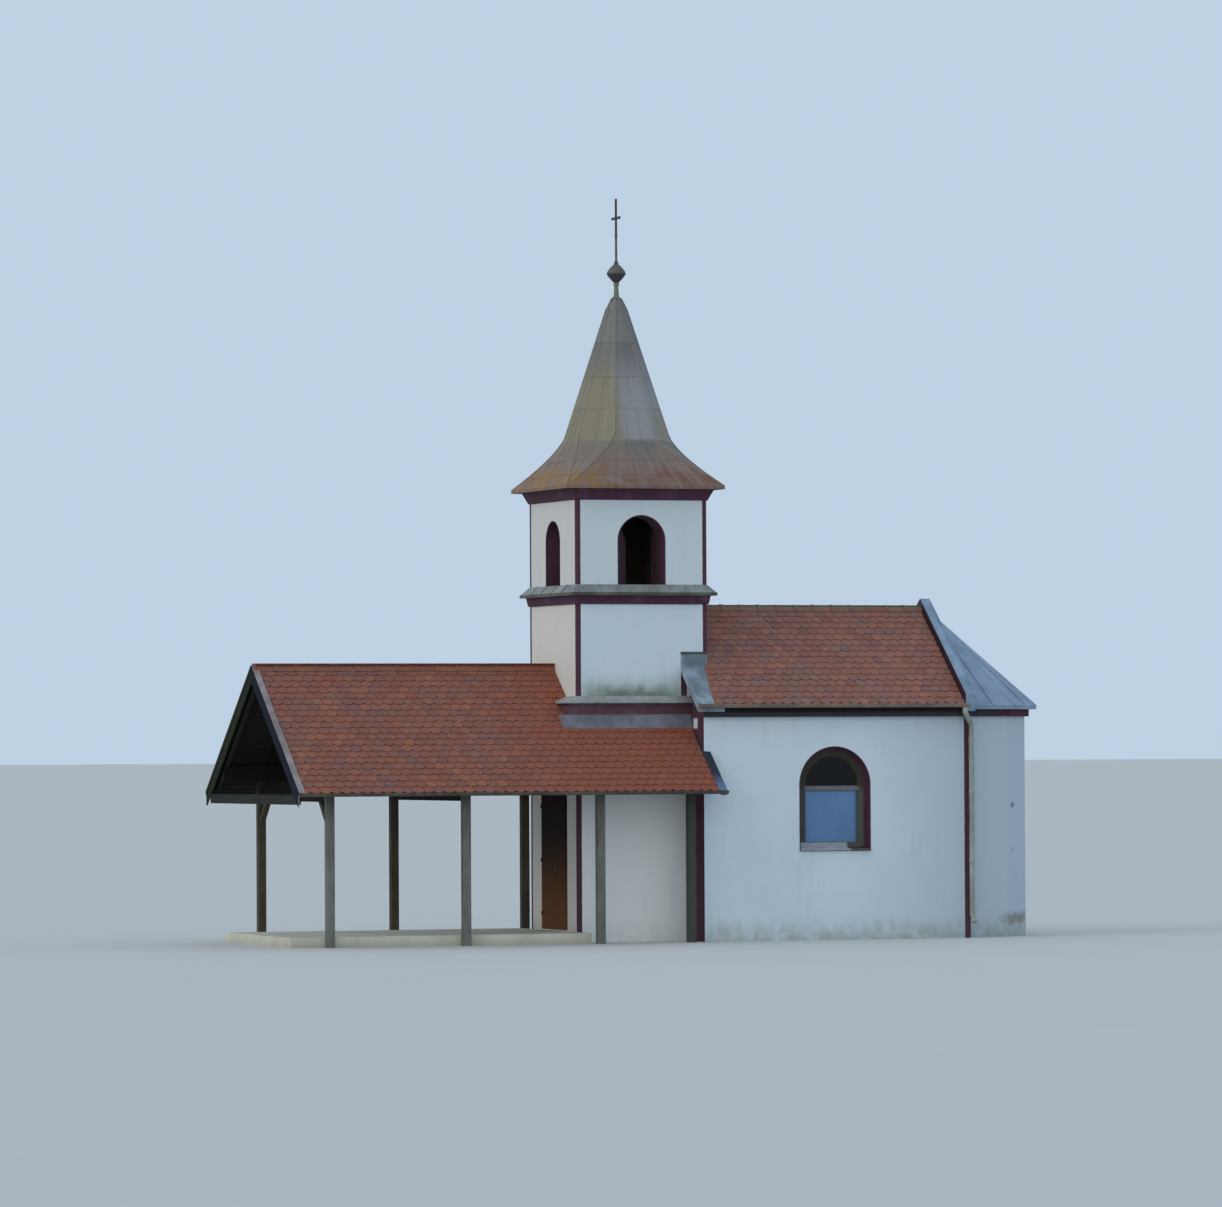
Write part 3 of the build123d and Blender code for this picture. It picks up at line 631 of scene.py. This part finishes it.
def soften(width, *starts):
    """Round the edges of CAD nodes by modifiers."""
    for node in named(*starts):
        weld = node.modifiers.new("weld", "WELD")
        weld.merge_threshold = 0.0002
        round_edges(node, width)


# Building meshes

def turns(count):
    """Angles in equal steps round a circle."""
    return [2 * pi * k / count for k in range(count)]


def rectangle(left, low, right, high):
    return [(left, low), (right, low), (right, high), (left, high)]


class Builder:
    """Collects closed solids into one mesh; each solid has its own random tint."""

    def __init__(self):
        self.points = []
        self.faces = []
        self.tints = []

    def solid(self, rings, loop=False):
        """A closed solid through rings of equally many points; loop joins its ends."""
        base = len(self.points)
        count = len(rings[0])
        for ring in rings:
            self.points.extend(ring)
        for level in range(len(rings) if loop else len(rings) - 1):
            low = base + level * count
            high = base + (level + 1) % len(rings) * count
            for k in range(count):
                after = (k + 1) % count
                self.faces.append((low + k, low + after, high + after, high + k))
        if not loop:
            for start in (base, len(self.points) - count):
                self.faces.append(tuple(range(start, start + count)))
        self.tints.extend([draw.random()] * (count * len(rings)))

    def sweep(self, outline, place, stations):
        """A solid through an outline at each station, set by place(station, across, up)."""
        self.solid([[place(station, across, up) for across, up in outline] for station in stations])

    def block(self, low, high):
        """A square-cornered piece between two corners."""
        corners = rectangle(low[0], low[1], high[0], high[1])
        self.sweep(corners, lambda z, x, y: Vector((x, y, z)), (low[2], high[2]))

    def tube(self, path, radius, count=8, loop=False, guide=None):
        """A round bar along a path, with one radius or one for each point."""
        radii = radius if isinstance(radius, list) else [radius] * len(path)
        last = len(path) - 1
        rings = []
        for k, point in enumerate(path):
            before, after = (k - 1, (k + 1) % len(path)) if loop else (max(k - 1, 0), min(k + 1, last))
            along = (path[after] - path[before]).normalized()
            aside = guide or Vector((0, 0, 1) if abs(along.z) < 0.9 else (1, 0, 0))
            first = along.cross(aside).normalized()
            second = along.cross(first)
            rings.append([point + (first * cos(a) + second * sin(a)) * radii[k] for a in turns(count)])
        self.solid(rings, loop)

    def make(self, name, material, body="root", smooth=None, bevel=None):
        """Turn what was collected into one piece that rides on a body."""
        mesh = bpy.data.meshes.new(name)
        mesh.from_pydata([tuple(p) for p in self.points], [], self.faces)
        shell = bmesh.new()
        shell.from_mesh(mesh)
        bmesh.ops.recalc_face_normals(shell, faces=shell.faces)
        shell.to_mesh(mesh)
        shell.free()
        tints = mesh.attributes.new("tint", "FLOAT", "POINT")
        tints.data.foreach_set("value", self.tints)
        mesh.materials.append(material)
        if smooth is not None:
            mesh.shade_smooth()
            mesh.set_sharp_from_angle(angle=radians(smooth))
        piece = show(name, mesh)
        if bevel is not None:
            round_edges(piece, bevel)
        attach(piece, body)
        return piece


class Slope:
    """One side of a roof, with places along X, down the slope and above it."""

    def __init__(self, node, side):
        points = [v.co for v in nodes[node].data.vertices if v.co.y * side > -0.0001]
        reaches = [abs(p.y) for p in points]
        self.inner = min(reaches)
        self.outer = max(reaches)
        top = max(p.z for p in points if abs(p.y) < self.inner + 0.001)
        eave = max(p.z for p in points if abs(p.y) > self.outer - 0.001)
        self.x0 = min(p.x for p in points)
        self.x1 = max(p.x for p in points)
        fall = top - eave
        run = self.outer - self.inner
        self.length = hypot(run, fall)
        self.start = Vector((0, side * self.inner, top))
        self.down = Vector((0, side * run, -fall)).normalized()
        self.up = Vector((0, side * fall, run)).normalized()
        self.thickness = -min((p - self.start).dot(self.up) for p in points)

    def at(self, x, run, lift=0.0):
        return self.start + Vector((x, 0, 0)) + self.down * run + self.up * lift

    def run_to(self, reach):
        """How far down the slope a distance from the middle of the building lies."""
        return (reach - self.inner) / (self.outer - self.inner) * self.length


# Roof tiles

tile_width = 0.18
tile_exposure = 0.16
tile_lap = 0.03
tile_thickness = 0.013
tile_gap = 0.0025
tile_tail_lift = 0.018
tile_head_lift = 0.002
tile_crown = 0.042
tile_overhang = 0.02
first_head = 0.05
tail_steps = (-1.0, -0.72, -0.36, 0.0, 0.36, 0.72, 1.0)


def lay_tile(builder, slope, left, right, tail):
    """One flat tile with a rounded tail that lies on the course below."""
    jitter = draw.uniform(-0.0025, 0.0025)
    skew = draw.uniform(-0.002, 0.002)
    sag = draw.uniform(-0.004, 0.004)
    head = tail - tile_exposure - tile_lap
    middle = (left + right) / 2
    half = (right - left) / 2 - tile_gap
    outline = [(middle - half, head), (middle + half, head)]
    outline += [(middle + half * t, tail + sag - tile_crown * t * t) for t in reversed(tail_steps)]

    def place(below, x, run):
        share = (run - head) / (tail - head)
        lift = tile_head_lift + share * (tile_tail_lift - tile_head_lift + jitter)
        return slope.at(x, run, lift + skew * (x - middle) / half - below)

    builder.sweep(outline, place, (0.0, tile_thickness))


def lay_tiles(builder, slope, x0, x1, first_run, west_edge=None):
    """Courses from the eave up, every other one shifted by half a tile.

    west_edge gives a course's further west end from its run down the slope."""
    last_run = slope.length + tile_overhang
    columns = round((x1 - x0) / tile_width)
    width = (x1 - x0) / columns
    for course in range(ceil((last_run - first_run) / tile_exposure)):
        tail = last_run - course * tile_exposure
        shift = width / 2 if course % 2 else 0.0
        limit = x0 if west_edge is None else min(x0, west_edge(tail))
        extra = ceil((x0 - limit) / width)
        for column in range(-extra, columns + course % 2):
            left = max(limit, x0 + column * width - shift)
            right = min(x1, x0 + (column + 1) * width - shift)
            if right - left > 0.02:
                lay_tile(builder, slope, left, right, tail)


ridge_length = 0.36
ridge_radius = 0.108
ridge_shell = 0.014
ridge_collar = 0.012


def lay_ridge(builder, x0, x1, centre_z):
    """Half-round ridge tiles, each with a collar over the next."""
    count = round((x1 - x0) / ridge_length)
    step = (x1 - x0) / count
    angles = [radians(a) for a in range(-88, 89, 16)]
    collar = ridge_radius + ridge_collar
    for k in range(count):
        tip = draw.uniform(-0.004, 0.004)
        turn = draw.uniform(-0.03, 0.03)
        rings = []
        for x, r in ((0.0, collar), (0.05, collar), (0.055, ridge_radius), (step, ridge_radius - 0.002)):
            edges = [(r, a + turn) for a in angles] + [(r - ridge_shell, a + turn) for a in reversed(angles)]
            x += x0 + k * step
            rings.append([Vector((x, r * sin(a), centre_z + tip + r * cos(a))) for r, a in edges])
        builder.solid(rings)


def roofs():
    """Tiles and ridge tiles on the nave and the porch."""
    nave_clay = tile_finish(
        "nave_clay", [(129, 82, 73), (148, 99, 86), (135, 97, 88), (159, 106, 90), (123, 89, 90)],
        (125, 103, 100), (112, 106, 86), nave_moss)
    porch_clay = tile_finish(
        "porch_clay", [(131, 79, 67), (146, 92, 76), (123, 83, 76), (155, 98, 76), (119, 85, 84)],
        (119, 98, 95), (138, 72, 50), porch_moss, (144, 80, 60))
    for side, word in sides:
        slope = Slope(f"nave_roof_{word}", side)
        tower_run = (tower_half + 0.1) / abs(slope.down.y)

        def sheet_edge(run):
            """Tiles lap over the west sheet below the tower, more so at the eave."""
            share = (run - tower_run) / (slope.length - tower_run)
            return slope.x0 if share < 0 else slope.x0 - 0.07 - 0.12 * share

        tiles = Builder()
        lay_tiles(tiles, slope, slope.x0, slope.x1 - 0.01, first_head, sheet_edge)
        tiles.make(f"nave_tiles_{word}", nave_clay)
        slope = Slope(f"porch_roof_{word}", side)
        tiles = Builder()
        lay_tiles(tiles, slope, slope.x0 + 0.02, slope.x1, first_head)
        beside = Slope("porch_side_roofs", side)
        lay_tiles(tiles, beside, beside.x0, beside.x1 - 0.01, beside.run_to(apron_reach))
        tiles.make(f"porch_tiles_{word}", porch_clay)
    bedding = mortar()
    for word, clay in (("nave", nave_clay), ("porch", porch_clay)):
        low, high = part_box(f"{word}_ridge_tiles")
        ridge = Builder()
        lay_ridge(ridge, low.x, high.x, high.z - 0.092)
        ridge.make(f"{word}_ridge_caps", clay, smooth=40)
        dress(bedding, f"{word}_ridge_tiles")


# Porch roof from below

deck_filler = 0.04
deck_board = 0.14
board_gap = 0.004
board_bevel = (0.004, 0.003)


def lay_deck(deck, slope):
    """Boards on the rafters and the layer that the tiles lie on."""
    ends = (slope.x0, slope.x1)
    deck.sweep(rectangle(0.0, -0.003, slope.length, -deck_filler), slope.at, ends)
    count = round(slope.length / deck_board)
    width = slope.length / count
    inward, upward = board_bevel
    for k in range(count):
        near = k * width + board_gap / 2
        far = (k + 1) * width - board_gap / 2
        lift = -slope.thickness + draw.uniform(0.0, 0.002)
        outline = [(near, lift + upward), (near + inward, lift), (far - inward, lift), (far, lift + upward),
                   (far, -deck_filler), (near, -deck_filler)]
        deck.sweep(outline, slope.at, ends)


def porch_decks():
    # Near-black boards: a dark stain, and painted shade under the porch roof.
    wood = timber("deck_boards", 0, (34, 30, 27), (20, 18, 17))
    for word, node, parts in (
        ("south", "porch_roof_south", (south,)),
        ("north", "porch_roof_north", (north,)),
        ("beside_tower", "porch_side_roofs", (south, north)),
    ):
        deck = Builder()
        for side in parts:
            lay_deck(deck, Slope(node, side))
        piece = deck.make(f"porch_deck_{word}", wood)
        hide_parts(node)


# Spire sheets

flare_foot = tower_top + 0.04
flare_power = 1.38
bend_radius = 0.89
shoulder_level = spire_top - 0.2
shoulder_radius = 0.178
tip_radius = 0.08
eave_corner_cut = 0.006
sheet_stand = 0.01
sheet_lap = 0.005
sheet_depth = 0.008
course_lap = 0.012
seam_half = 0.005
seam_low = sheet_stand - 0.002
seam_high = sheet_stand + 0.007
hip_radius = 0.011
wide_columns = (5, 4, 3, 3, 2, 2, 1, 1)
narrow_columns = (1, 1, 2, 2, 2, 1, 1, 1)


def spire_section(level):
    """Half a side and half a flat of the spire's eight-cornered section at a level."""
    if level < spire_bend:
        share = min(1.0, (spire_bend - level) / (spire_bend - flare_foot)) ** flare_power
        half = bend_radius * cos(pi / 8)
        eave_flat = spire_eave_half - eave_corner_cut
        return blend(share, half, spire_eave_half), blend(share, half * tan(pi / 8), eave_flat)
    if level < shoulder_level:
        share = (level - spire_bend) / (shoulder_level - spire_bend)
        half = blend(share, bend_radius, shoulder_radius) * cos(pi / 8)
    else:
        share = (level - shoulder_level) / (spire_top - shoulder_level)
        half = blend(share, shoulder_radius, tip_radius) * cos(pi / 8)
    return half, half * tan(pi / 8)


def on_spire(level, flat, across, lift):
    """A point on one of the eight flats; across runs from -1 to 1 along the flat."""
    away, width = spire_section(level)
    if flat % 2:
        away, width = (away + width) / sqrt(2), (away - width) / sqrt(2)
    out, along = facing(flat * pi / 4)
    aside = across * (width + lift * tan(pi / 8))
    return Vector((tower_x, 0, level)) + out * (away + lift) + along * aside


def spire_sheets(sheet):
    """Overlapping courses of sheet, with standing seams, hip rolls and a drip edge."""
    joints = [flare_foot - 0.005, flare_foot + 0.2, flare_foot + 0.46, spire_bend, spire_bend + 0.46,
              spire_bend + 1.02, spire_bend + 1.62, shoulder_level, spire_top]
    skin = Builder()
    seams = Builder()
    for low, high, wide, narrow in zip(joints, joints[1:], wide_columns, narrow_columns):
        steps = 4 if low < spire_bend else 1
        levels = [blend(k / steps, low, high) for k in range(steps + 1)]
        lap = course_lap if low > flare_foot else 0.0
        for flat in range(8):
            _, along = facing(flat * pi / 4)
            columns = narrow if flat % 2 else wide
            edges = [-1 + 2 * k / columns for k in range(columns + 1)]

            def on_sheet(k, across, depth):
                lift = sheet_stand + sheet_lap * (1 - k / steps) - depth
                return on_spire(levels[k] - (0.0 if k else lap), flat, across, lift)

            def on_seam(level, lift, aside):
                return on_spire(level, flat, left, lift) + along * aside

            for left, right in zip(edges, edges[1:]):
                skin.sweep(rectangle(left, 0.0, right, sheet_depth), on_sheet, range(steps + 1))
                if left > -1:
                    seams.sweep(rectangle(seam_low, seam_half, seam_high, -seam_half), on_seam, levels)
    levels = [blend(k / 8, flare_foot, spire_bend) for k in range(9)] + [shoulder_level, spire_top]
    for corner in range(8):
        seams.tube([on_spire(level, corner, 1.0, sheet_stand) for level in levels], hip_radius)
    skin.make("spire_skin", sheet)
    seams.make("spire_seams", sheet, smooth=40)
    drip = Builder()
    moulding(drip, spire_eave_half, flare_foot, [
        (-0.02, 0.012), (0.01, 0.004), (0.014, -0.004), (0.014, -0.05), (0.02, -0.058), (0.004, -0.056),
        (0.001, -0.001)])
    drip.make("spire_drip_edge", sheet)


def moulding(builder, half, level, outline):
    """A strip round the square tower, from (outward, upward) points past a half width and a level."""
    builder.solid([
        [Vector((tower_x + sx * (half + out), sy * (half + out), level + up)) for out, up in outline]
        for sx, sy in ((-1, -1), (1, -1), (1, 1), (-1, 1))
    ], loop=True)


def finial(finish):
    """Neck, orb and rod, rounded, with collars where they meet."""
    low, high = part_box("spire_finial")
    neck_radius = 0.04
    orb_half = (high.y - low.y) / 2
    orb_height = 0.33
    orb_steps = 14
    outline = [(0.002, low.z - 0.02), (0.085, low.z - 0.02), (0.09, low.z + 0.01), (0.06, low.z + 0.03),
               (0.048, low.z + 0.05), (0.037, orb_foot - 0.05), (0.052, orb_foot - 0.04),
               (0.052, orb_foot - 0.02), (neck_radius, orb_foot)]
    for k in range(1, orb_steps):
        belly = (orb_half - neck_radius) * (1 - abs(2 * k / orb_steps - 1) ** 1.4)
        outline.append((neck_radius + belly, orb_foot + orb_height * k / orb_steps))
    orb_top = orb_foot + orb_height
    outline += [(0.034, orb_top), (0.042, orb_top + 0.015), (0.042, orb_top + 0.03), (0.022, orb_top + 0.05),
                (0.02, high.z - 0.03), (0.03, high.z - 0.025), (0.03, high.z - 0.005), (0.02, high.z),
                (0.002, high.z)]
    turned = Builder()
    turned.solid([[Vector((tower_x + r * cos(a), r * sin(a), z)) for a in turns(32)] for r, z in outline])
    piece = turned.make("spire_orb_and_rod", finish, smooth=50)
    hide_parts("spire_finial")


# Gutters

hanger_spacing = 0.75
hanger_inset = 0.1
joint_spacing = 2.0
pipe_out = 0.075
socket_levels = (3.42, 2.5, 1.3)
clip_levels = (0.7, 1.9, 3.1)


def gutter_details(name, node, metal):
    """A rolled front edge, hangers and joint collars on both half-round gutters."""
    low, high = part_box(node)
    length = high.x - low.x
    depth = high.z - low.z
    hangers = round(length / hanger_spacing)
    joints = round(length / joint_spacing)
    straps = [(hanger_inset + (length - 2 * hanger_inset) * k / hangers, 0.003, 0.014)
              for k in range(hangers + 1)]
    straps += [(length * k / joints, 0.002, 0.03) for k in range(1, joints)]
    details = Builder()
    for side in (south, north):
        details.tube([Vector((x, side * high.y, high.z)) for x in (low.x, high.x)], 0.009)
        for x, thick, half in straps:
            def place(k, along, radius):
                angle = pi + pi * k / 8
                rim = 0.004 if k in (0, 8) else 0.0
                y = side * (high.y - depth + cos(angle) * radius)
                return Vector((low.x + x + along, y, high.z + sin(angle) * radius + rim))

            details.sweep(rectangle(-half, depth - 0.0005, half, depth + thick), place, range(9))
    details.make(name, metal, smooth=40)


def pipe_sockets(metal):
    """Sockets and clips on the downpipes."""
    sockets = Builder()
    for side in (south, north):
        def pipe(level, steps, radius):
            y = side * (nave_half + pipe_out)
            sockets.tube([Vector((nave_east, y, level + step)) for step in steps], radius, 16)

        for level in socket_levels:
            pipe(level, (0.0, 0.01, 0.07, 0.08), [0.0455, 0.051, 0.051, 0.0455])
        for level in clip_levels:
            pipe(level, (0.0, 0.03), 0.0485)
    sockets.make("downpipe_sockets", metal, smooth=40)


# Flashings and seams

def seam(builder, start, end, up, height=0.02, half=0.006):
    """A straight standing seam between two places on a roof."""
    side = (end - start).normalized().cross(up).normalized()
    outline = rectangle(-half, -0.002, half, height)
    builder.sweep(outline, lambda place, across, rise: place + side * across + up * rise, (start, end))


def apse_seams(metal):
    """Seams on the hips and in the middle of each side of the apse roof, and a rolled eave."""
    points = [v.co.copy() for v in nodes["apse_roof"].data.vertices]
    apex = Vector((nave_east, 0, max(p.z for p in points)))
    reach = max(p.x for p in points) - nave_east
    eave_level = max(p.z for p in points if p.x > nave_east + reach - 0.001)
    corners = [Vector((nave_east + reach * cos(a), reach * sin(a), eave_level))
               for a in (radians(-90 + 30 * k) for k in range(7))]
    seams = Builder()
    for k, corner in enumerate(corners):
        seams.tube([apex.lerp(corner, 0.04), corner], 0.014)
        if k:
            before = corners[k - 1]
            foot = before.lerp(corner, 0.5)
            seam(seams, apex.lerp(foot, 0.22), foot, (before - apex).cross(corner - apex).normalized())
            seams.tube([before, corner], 0.012)
    seams.make("apse_roof_seams", metal, smooth=40)


def sheet_folds(verge_metal, west_metal, dark):
    """Folds on the nave's west sheets and east verge, and strips beside the tower."""
    folds = Builder()
    west_folds = Builder()
    verge_low, verge_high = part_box("nave_east_verge")
    for side, word in sides:
        slope = Slope(f"nave_roof_{word}", side)
        x = sheet_west + 0.008
        top = slope.at(x, (tower_half + 0.01) / abs(slope.down.y))
        seam(west_folds, top, slope.at(x, slope.length), slope.up, height=0.03, half=0.008)
        lift = (verge_high.z - slope.start.z) * slope.up.z
        for x in (verge_low.x + 0.01, verge_high.x - 0.01):
            seam(folds, slope.at(x, 0.0, lift), slope.at(x, slope.length, lift), slope.up, 0.014, 0.01)
    folds.make("east_verge_folds", verge_metal, bevel=0.003)
    west_folds.make("west_sheet_folds", west_metal, bevel=0.003)
    strips = Builder()
    for side in (south, north):
        near, far = sorted((side * (tower_half - 0.002), side * (tower_half + 0.02)))
        strips.block((sheet_west - 0.004, near, sheet_top - 0.034),
                     (tower_x + tower_half, far, sheet_top + 0.006))
    # The strips are dark as a painted shadow line along the tower's face.
    strips.make("upstand_strips", dark, bevel=0.003)


def cornice_edges(metal, dark):
    """A rolled drip on the ledge round the tower, and seams on its skirt."""
    low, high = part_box("tower_mid_flashing")
    rim = 0.045
    edges = Builder()
    moulding(edges, high.y, low.z, [
        (0.001, rim), (0.01, 0.04), (0.01, 0.004), (0.016, -0.008), (0.004, -0.01), (0.001, 0.0)])
    # The drip is dark as painted shade under the ledge.
    edges.make("mid_flashing_drip", dark)
    seams = Builder()
    for out, along in map(facing, turns(4)):
        for share in (-0.66, -0.22, 0.22, 0.66):
            base = Vector((tower_x, 0, 0)) + along * (share * tower_half)
            foot = base + out * (high.y - 0.004) + Vector((0, 0, low.z + rim))
            head = base + out * (tower_half + 0.012) + Vector((0, 0, high.z - 0.004))
            seam(seams, foot, head, along.cross(head - foot).normalized(), height=0.014)
    seams.make("mid_flashing_seams", metal)


def porch_verge_caps(metal):
    """Metal strips on the tiles along the porch's open gable and its east ends."""
    gable_cap = [(-0.004, -0.045), (0.0, 0.034), (0.01, 0.04), (0.118, 0.032), (0.13, 0.02),
                 (0.126, 0.018), (0.014, 0.026), (0.002, -0.043)]
    wide_cap = [(-0.035, 0.026), (0.118, 0.02), (0.124, -0.03), (0.121, -0.03), (0.114, 0.016),
                (-0.035, 0.022)]
    narrow_cap = [(-0.035, 0.026), (0.006, 0.024), (0.006, -0.03), (-0.035, 0.016)]
    caps = Builder()
    for side, word in sides:
        gable = Slope(f"porch_roof_{word}", side)
        beside = Slope("porch_side_roofs", side)
        start = beside.run_to(nave_half)
        for slope, x, outline, runs in (
            (gable, gable.x0 - 0.028, gable_cap, (-0.02, gable.length + 0.03)),
            (beside, beside.x1, wide_cap, (start, beside.length + 0.02)),
            (beside, beside.x1, narrow_cap, (0.35, start)),
        ):
            caps.sweep(outline, lambda run, across, lift: slope.at(x + across, run, lift), runs)
    caps.make("porch_verge_caps", metal)


# Windows and door

hinge_levels = (1.86, 2.34)
bead_set_back = 0.03
board_count = 5
pull_y = -0.075
pull_level = 1.205
pull_radius = 0.038


def window_details(paint):
    """Beads round the panes, butt hinges and a rolled edge on the sill sheet."""
    hinge_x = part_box("nave_window_sashes")[0].x
    arc = [(pane_half * cos(pi * k / 20), window_spring + pane_half * sin(pi * k / 20)) for k in range(21)]
    outlines = [[(-pane_half, pane_foot), (pane_half, pane_foot)]]
    outlines += [[(x, pane_foot), (x, transom_low)] for x in (-pane_half, pane_half)]
    outlines += [[(-pane_half, z), (pane_half, z)] for z in (transom_low, transom_high)]
    outlines.append([(pane_half, transom_high)] + arc + [(-pane_half, transom_high)])
    beads = Builder()
    for side in (south, north):
        face = side * (window_face - bead_set_back)
        for outline in outlines:
            beads.tube([Vector((window_x + x, face, z)) for x, z in outline], 0.009)
        for level in hinge_levels:
            hinge = Vector((hinge_x, side * (window_face + 0.004), level))
            beads.tube([hinge, hinge + Vector((0, 0, 0.09))], 0.008, 10)
        roll = Vector((window_x, side * (nave_half + 0.045), window_sill + 0.015))
        beads.tube([roll + Vector((end * (window_half - 0.005), 0, 0)) for end in (-1, 1)], 0.016, 10)
    beads.make("window_beads", paint, smooth=40)


def door_details(wood, metal):
    """Upright boards on both leaves, and a pull ring with its plate."""
    for side, word in sides:
        low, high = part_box(f"door_leaf_{word}")
        start, end = sorted((side * 0.0025, side * (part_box("door_frame")[1].y - 0.065)))
        width = (end - start) / board_count
        boards = Builder()
        for k in range(board_count):
            left = start + k * width + 0.0015
            right = start + (k + 1) * width - 0.0015
            front = -0.006 - draw.uniform(-0.0006, 0.0004)
            outline = [(0.002, left), (front + 0.002, left), (front, left + 0.003), (front, right - 0.003),
                       (front + 0.002, right), (0.002, right)]
            ends = (low.z + 0.004, high.z - 0.004)
            boards.sweep(outline, lambda z, x, y: Vector((tower_west + x, y, z)), ends)
        boards.make(f"door_boards_{word}", wood, body=f"door_leaf_{word}")
    face = tower_west - 0.0064
    pull = Builder()
    pull.block((face - 0.003, pull_y - 0.022, 1.1), (face, pull_y + 0.022, 1.3))
    ring = [Vector((face - 0.008, pull_y + pull_radius * sin(a), pull_level + pull_radius * (cos(a) - 1)))
            for a in turns(20)]
    pull.tube(ring, 0.005, loop=True, guide=Vector((1, 0, 0)))
    pull.make("door_pull", metal, body="door_leaf_south", smooth=40)


# Studio

def lamp(name, energy, spread, colour, toward):
    """A far lamp that shines from one direction, its spread in degrees."""
    light = bpy.data.lights.new(name, "SUN")
    light.energy = energy
    light.angle = radians(spread)
    light.color = colour
    show(name, light).rotation_euler = toward.to_track_quat("Z", "Y").to_euler()


def studio():
    """A pale floor, an even sky, a soft sun in the west and a low warm glow."""
    reach = 1500.0
    rim = turns(96)
    floor = bpy.data.meshes.new("floor")
    floor.from_pydata([(reach * cos(a), reach * sin(a), 0.0) for a in rim], [], [tuple(range(len(rim)))])
    floor.materials.append(studio_floor())
    show("floor", floor)
    world = bpy.data.worlds.new("studio")
    world.use_nodes = True
    background = world.node_tree.nodes["Background"]
    background.inputs["Color"].default_value = (0.65, 0.8, 0.97, 1.0)
    background.inputs["Strength"].default_value = 0.8
    bpy.context.scene.world = world
    lamp("sun", 0.75, 35, (1.0, 0.9, 0.76), Vector((-0.92, -0.18, 0.5)))
    lamp("low_glow", 0.4, 60, (1.0, 0.9, 0.6), Vector((-0.3, -0.95, 0.1)))
    bpy.context.scene.view_settings.view_transform = "Standard"


place_camera()
studio()

dress(render_finish(), *(name for name in nodes if "_wall" in name and "plates" not in name))
dress(red_paint("dark_red_paint", (87, 54, 72), (68, 41, 58), (104, 87, 98)),
      "tower_mid_band", "tower_eaves_band", "nave_window_frames")
dress(red_paint("dull_red_paint", (104, 72, 80), (84, 56, 66), (120, 104, 106)), "tower_base_bands")
dress(shaded_eaves_paint(), "nave_eaves_bands", "apse_eaves_band")
dress(concrete(), "porch_floor", "inner_floor", "belfry_floor")

flashing = dress(
    sheet_finish("grey_flashing", (146, 150, 145), (119, 125, 124), (93, 94, 78)), "tower_mid_flashing")
apron_sheet = (ledge_top - 0.22, (124, 124, 134), (98, 100, 110))
dress(sheet_finish("base_flashing", (162, 166, 163), (138, 144, 143), (90, 92, 82), lower=apron_sheet),
      "tower_base_flashings")
blue_sheet = dress(
    sheet_finish("blue_sheet", (136, 156, 180), (118, 139, 164), (132, 140, 144), 0.45, 0.3), "apse_roof")
west_sheet = sheet_finish("west_sheet", (156, 174, 188), (104, 118, 130), (112, 108, 104), 0.45)
dress(west_sheet, "nave_west_flashings")
pipe_metal = dress(
    sheet_finish("pipe_metal", (160, 164, 156), (136, 142, 134), (100, 98, 90)), "nave_downpipes")
nave_gutter_metal = dress(
    sheet_finish("nave_gutter_metal", (144, 123, 113), (118, 101, 93), (84, 73, 64)), "nave_gutters")
porch_gutter_metal = dress(
    sheet_finish("porch_gutter_metal", (96, 87, 77), (74, 67, 60), (58, 50, 43)), "porch_gutters")
# A dark copy of the sheet metal for the ledge's drip and the strips by the tower: painted shade.
shaded_sheet_metal = sheet_finish("shaded_sheet_metal", (92, 94, 84), (66, 66, 58), (58, 52, 46))
dress(east_verge_finish(), "nave_east_verge")
verge = dress(verge_paint(), "porch_verges")
spire_metal = dress(spire_finish(), "spire")
black_iron = dress(iron(), "spire_cross")

last_post = (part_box("porch_posts_south")[1].x - 0.25, (72, 74, 68))
# Painted shade: trusses and rafters east of the gable are near black under the porch roof.
behind_gable = (porch_west + 0.38, (14, 12, 11))
# Painted shade: the posts' upper ends are darker under the porch roof.
dress(timber("post_wood", 2, (127, 130, 123), (84, 84, 78), (2.2, 2.8, (54, 50, 46)), last_post),
      "porch_posts_south")
dress(timber("far_post_wood", 2, (92, 81, 68), (57, 51, 46), (2.35, 2.6, (18, 16, 14))),
      "porch_posts_north", "porch_braces")
dress(timber("beam_wood_y", 1, (48, 48, 44), (33, 33, 31), beyond=behind_gable),
      "porch_trusses", "porch_rafters")
# Near-black timbers under the roofs: a dark stain, and painted shade.
dress(timber("beam_wood_x", 0, (28, 24, 21), (18, 16, 14)),
      "porch_wall_plates", "porch_ridge_beam", "porch_roof", "porch_side_roofs", "nave_roof")
sash_paint = dress(window_paint(), "nave_window_sashes")
dress(glass(), "nave_window_panes")
dress(sill_finish(), "nave_window_sills")
door_wood = dress(door_finish(), "door_")

roofs()
porch_decks()
spire_sheets(spire_metal)
finial(finial_finish())
gutter_details("nave_gutter_hangers", "nave_gutters", nave_gutter_metal)
gutter_details("porch_gutter_hangers", "porch_gutters", porch_gutter_metal)
pipe_sockets(pipe_metal)
apse_seams(blue_sheet)
sheet_folds(blue_sheet, west_sheet, shaded_sheet_metal)
cornice_edges(flashing, shaded_sheet_metal)
porch_verge_caps(verge)
window_details(sash_paint)
door_details(door_wood, black_iron)
soften(0.008, "porch_posts", "porch_trusses", "porch_braces")
soften(0.006, "tower_mid_band", "tower_eaves", "tower_base_bands", "nave_eaves", "apse_eaves")
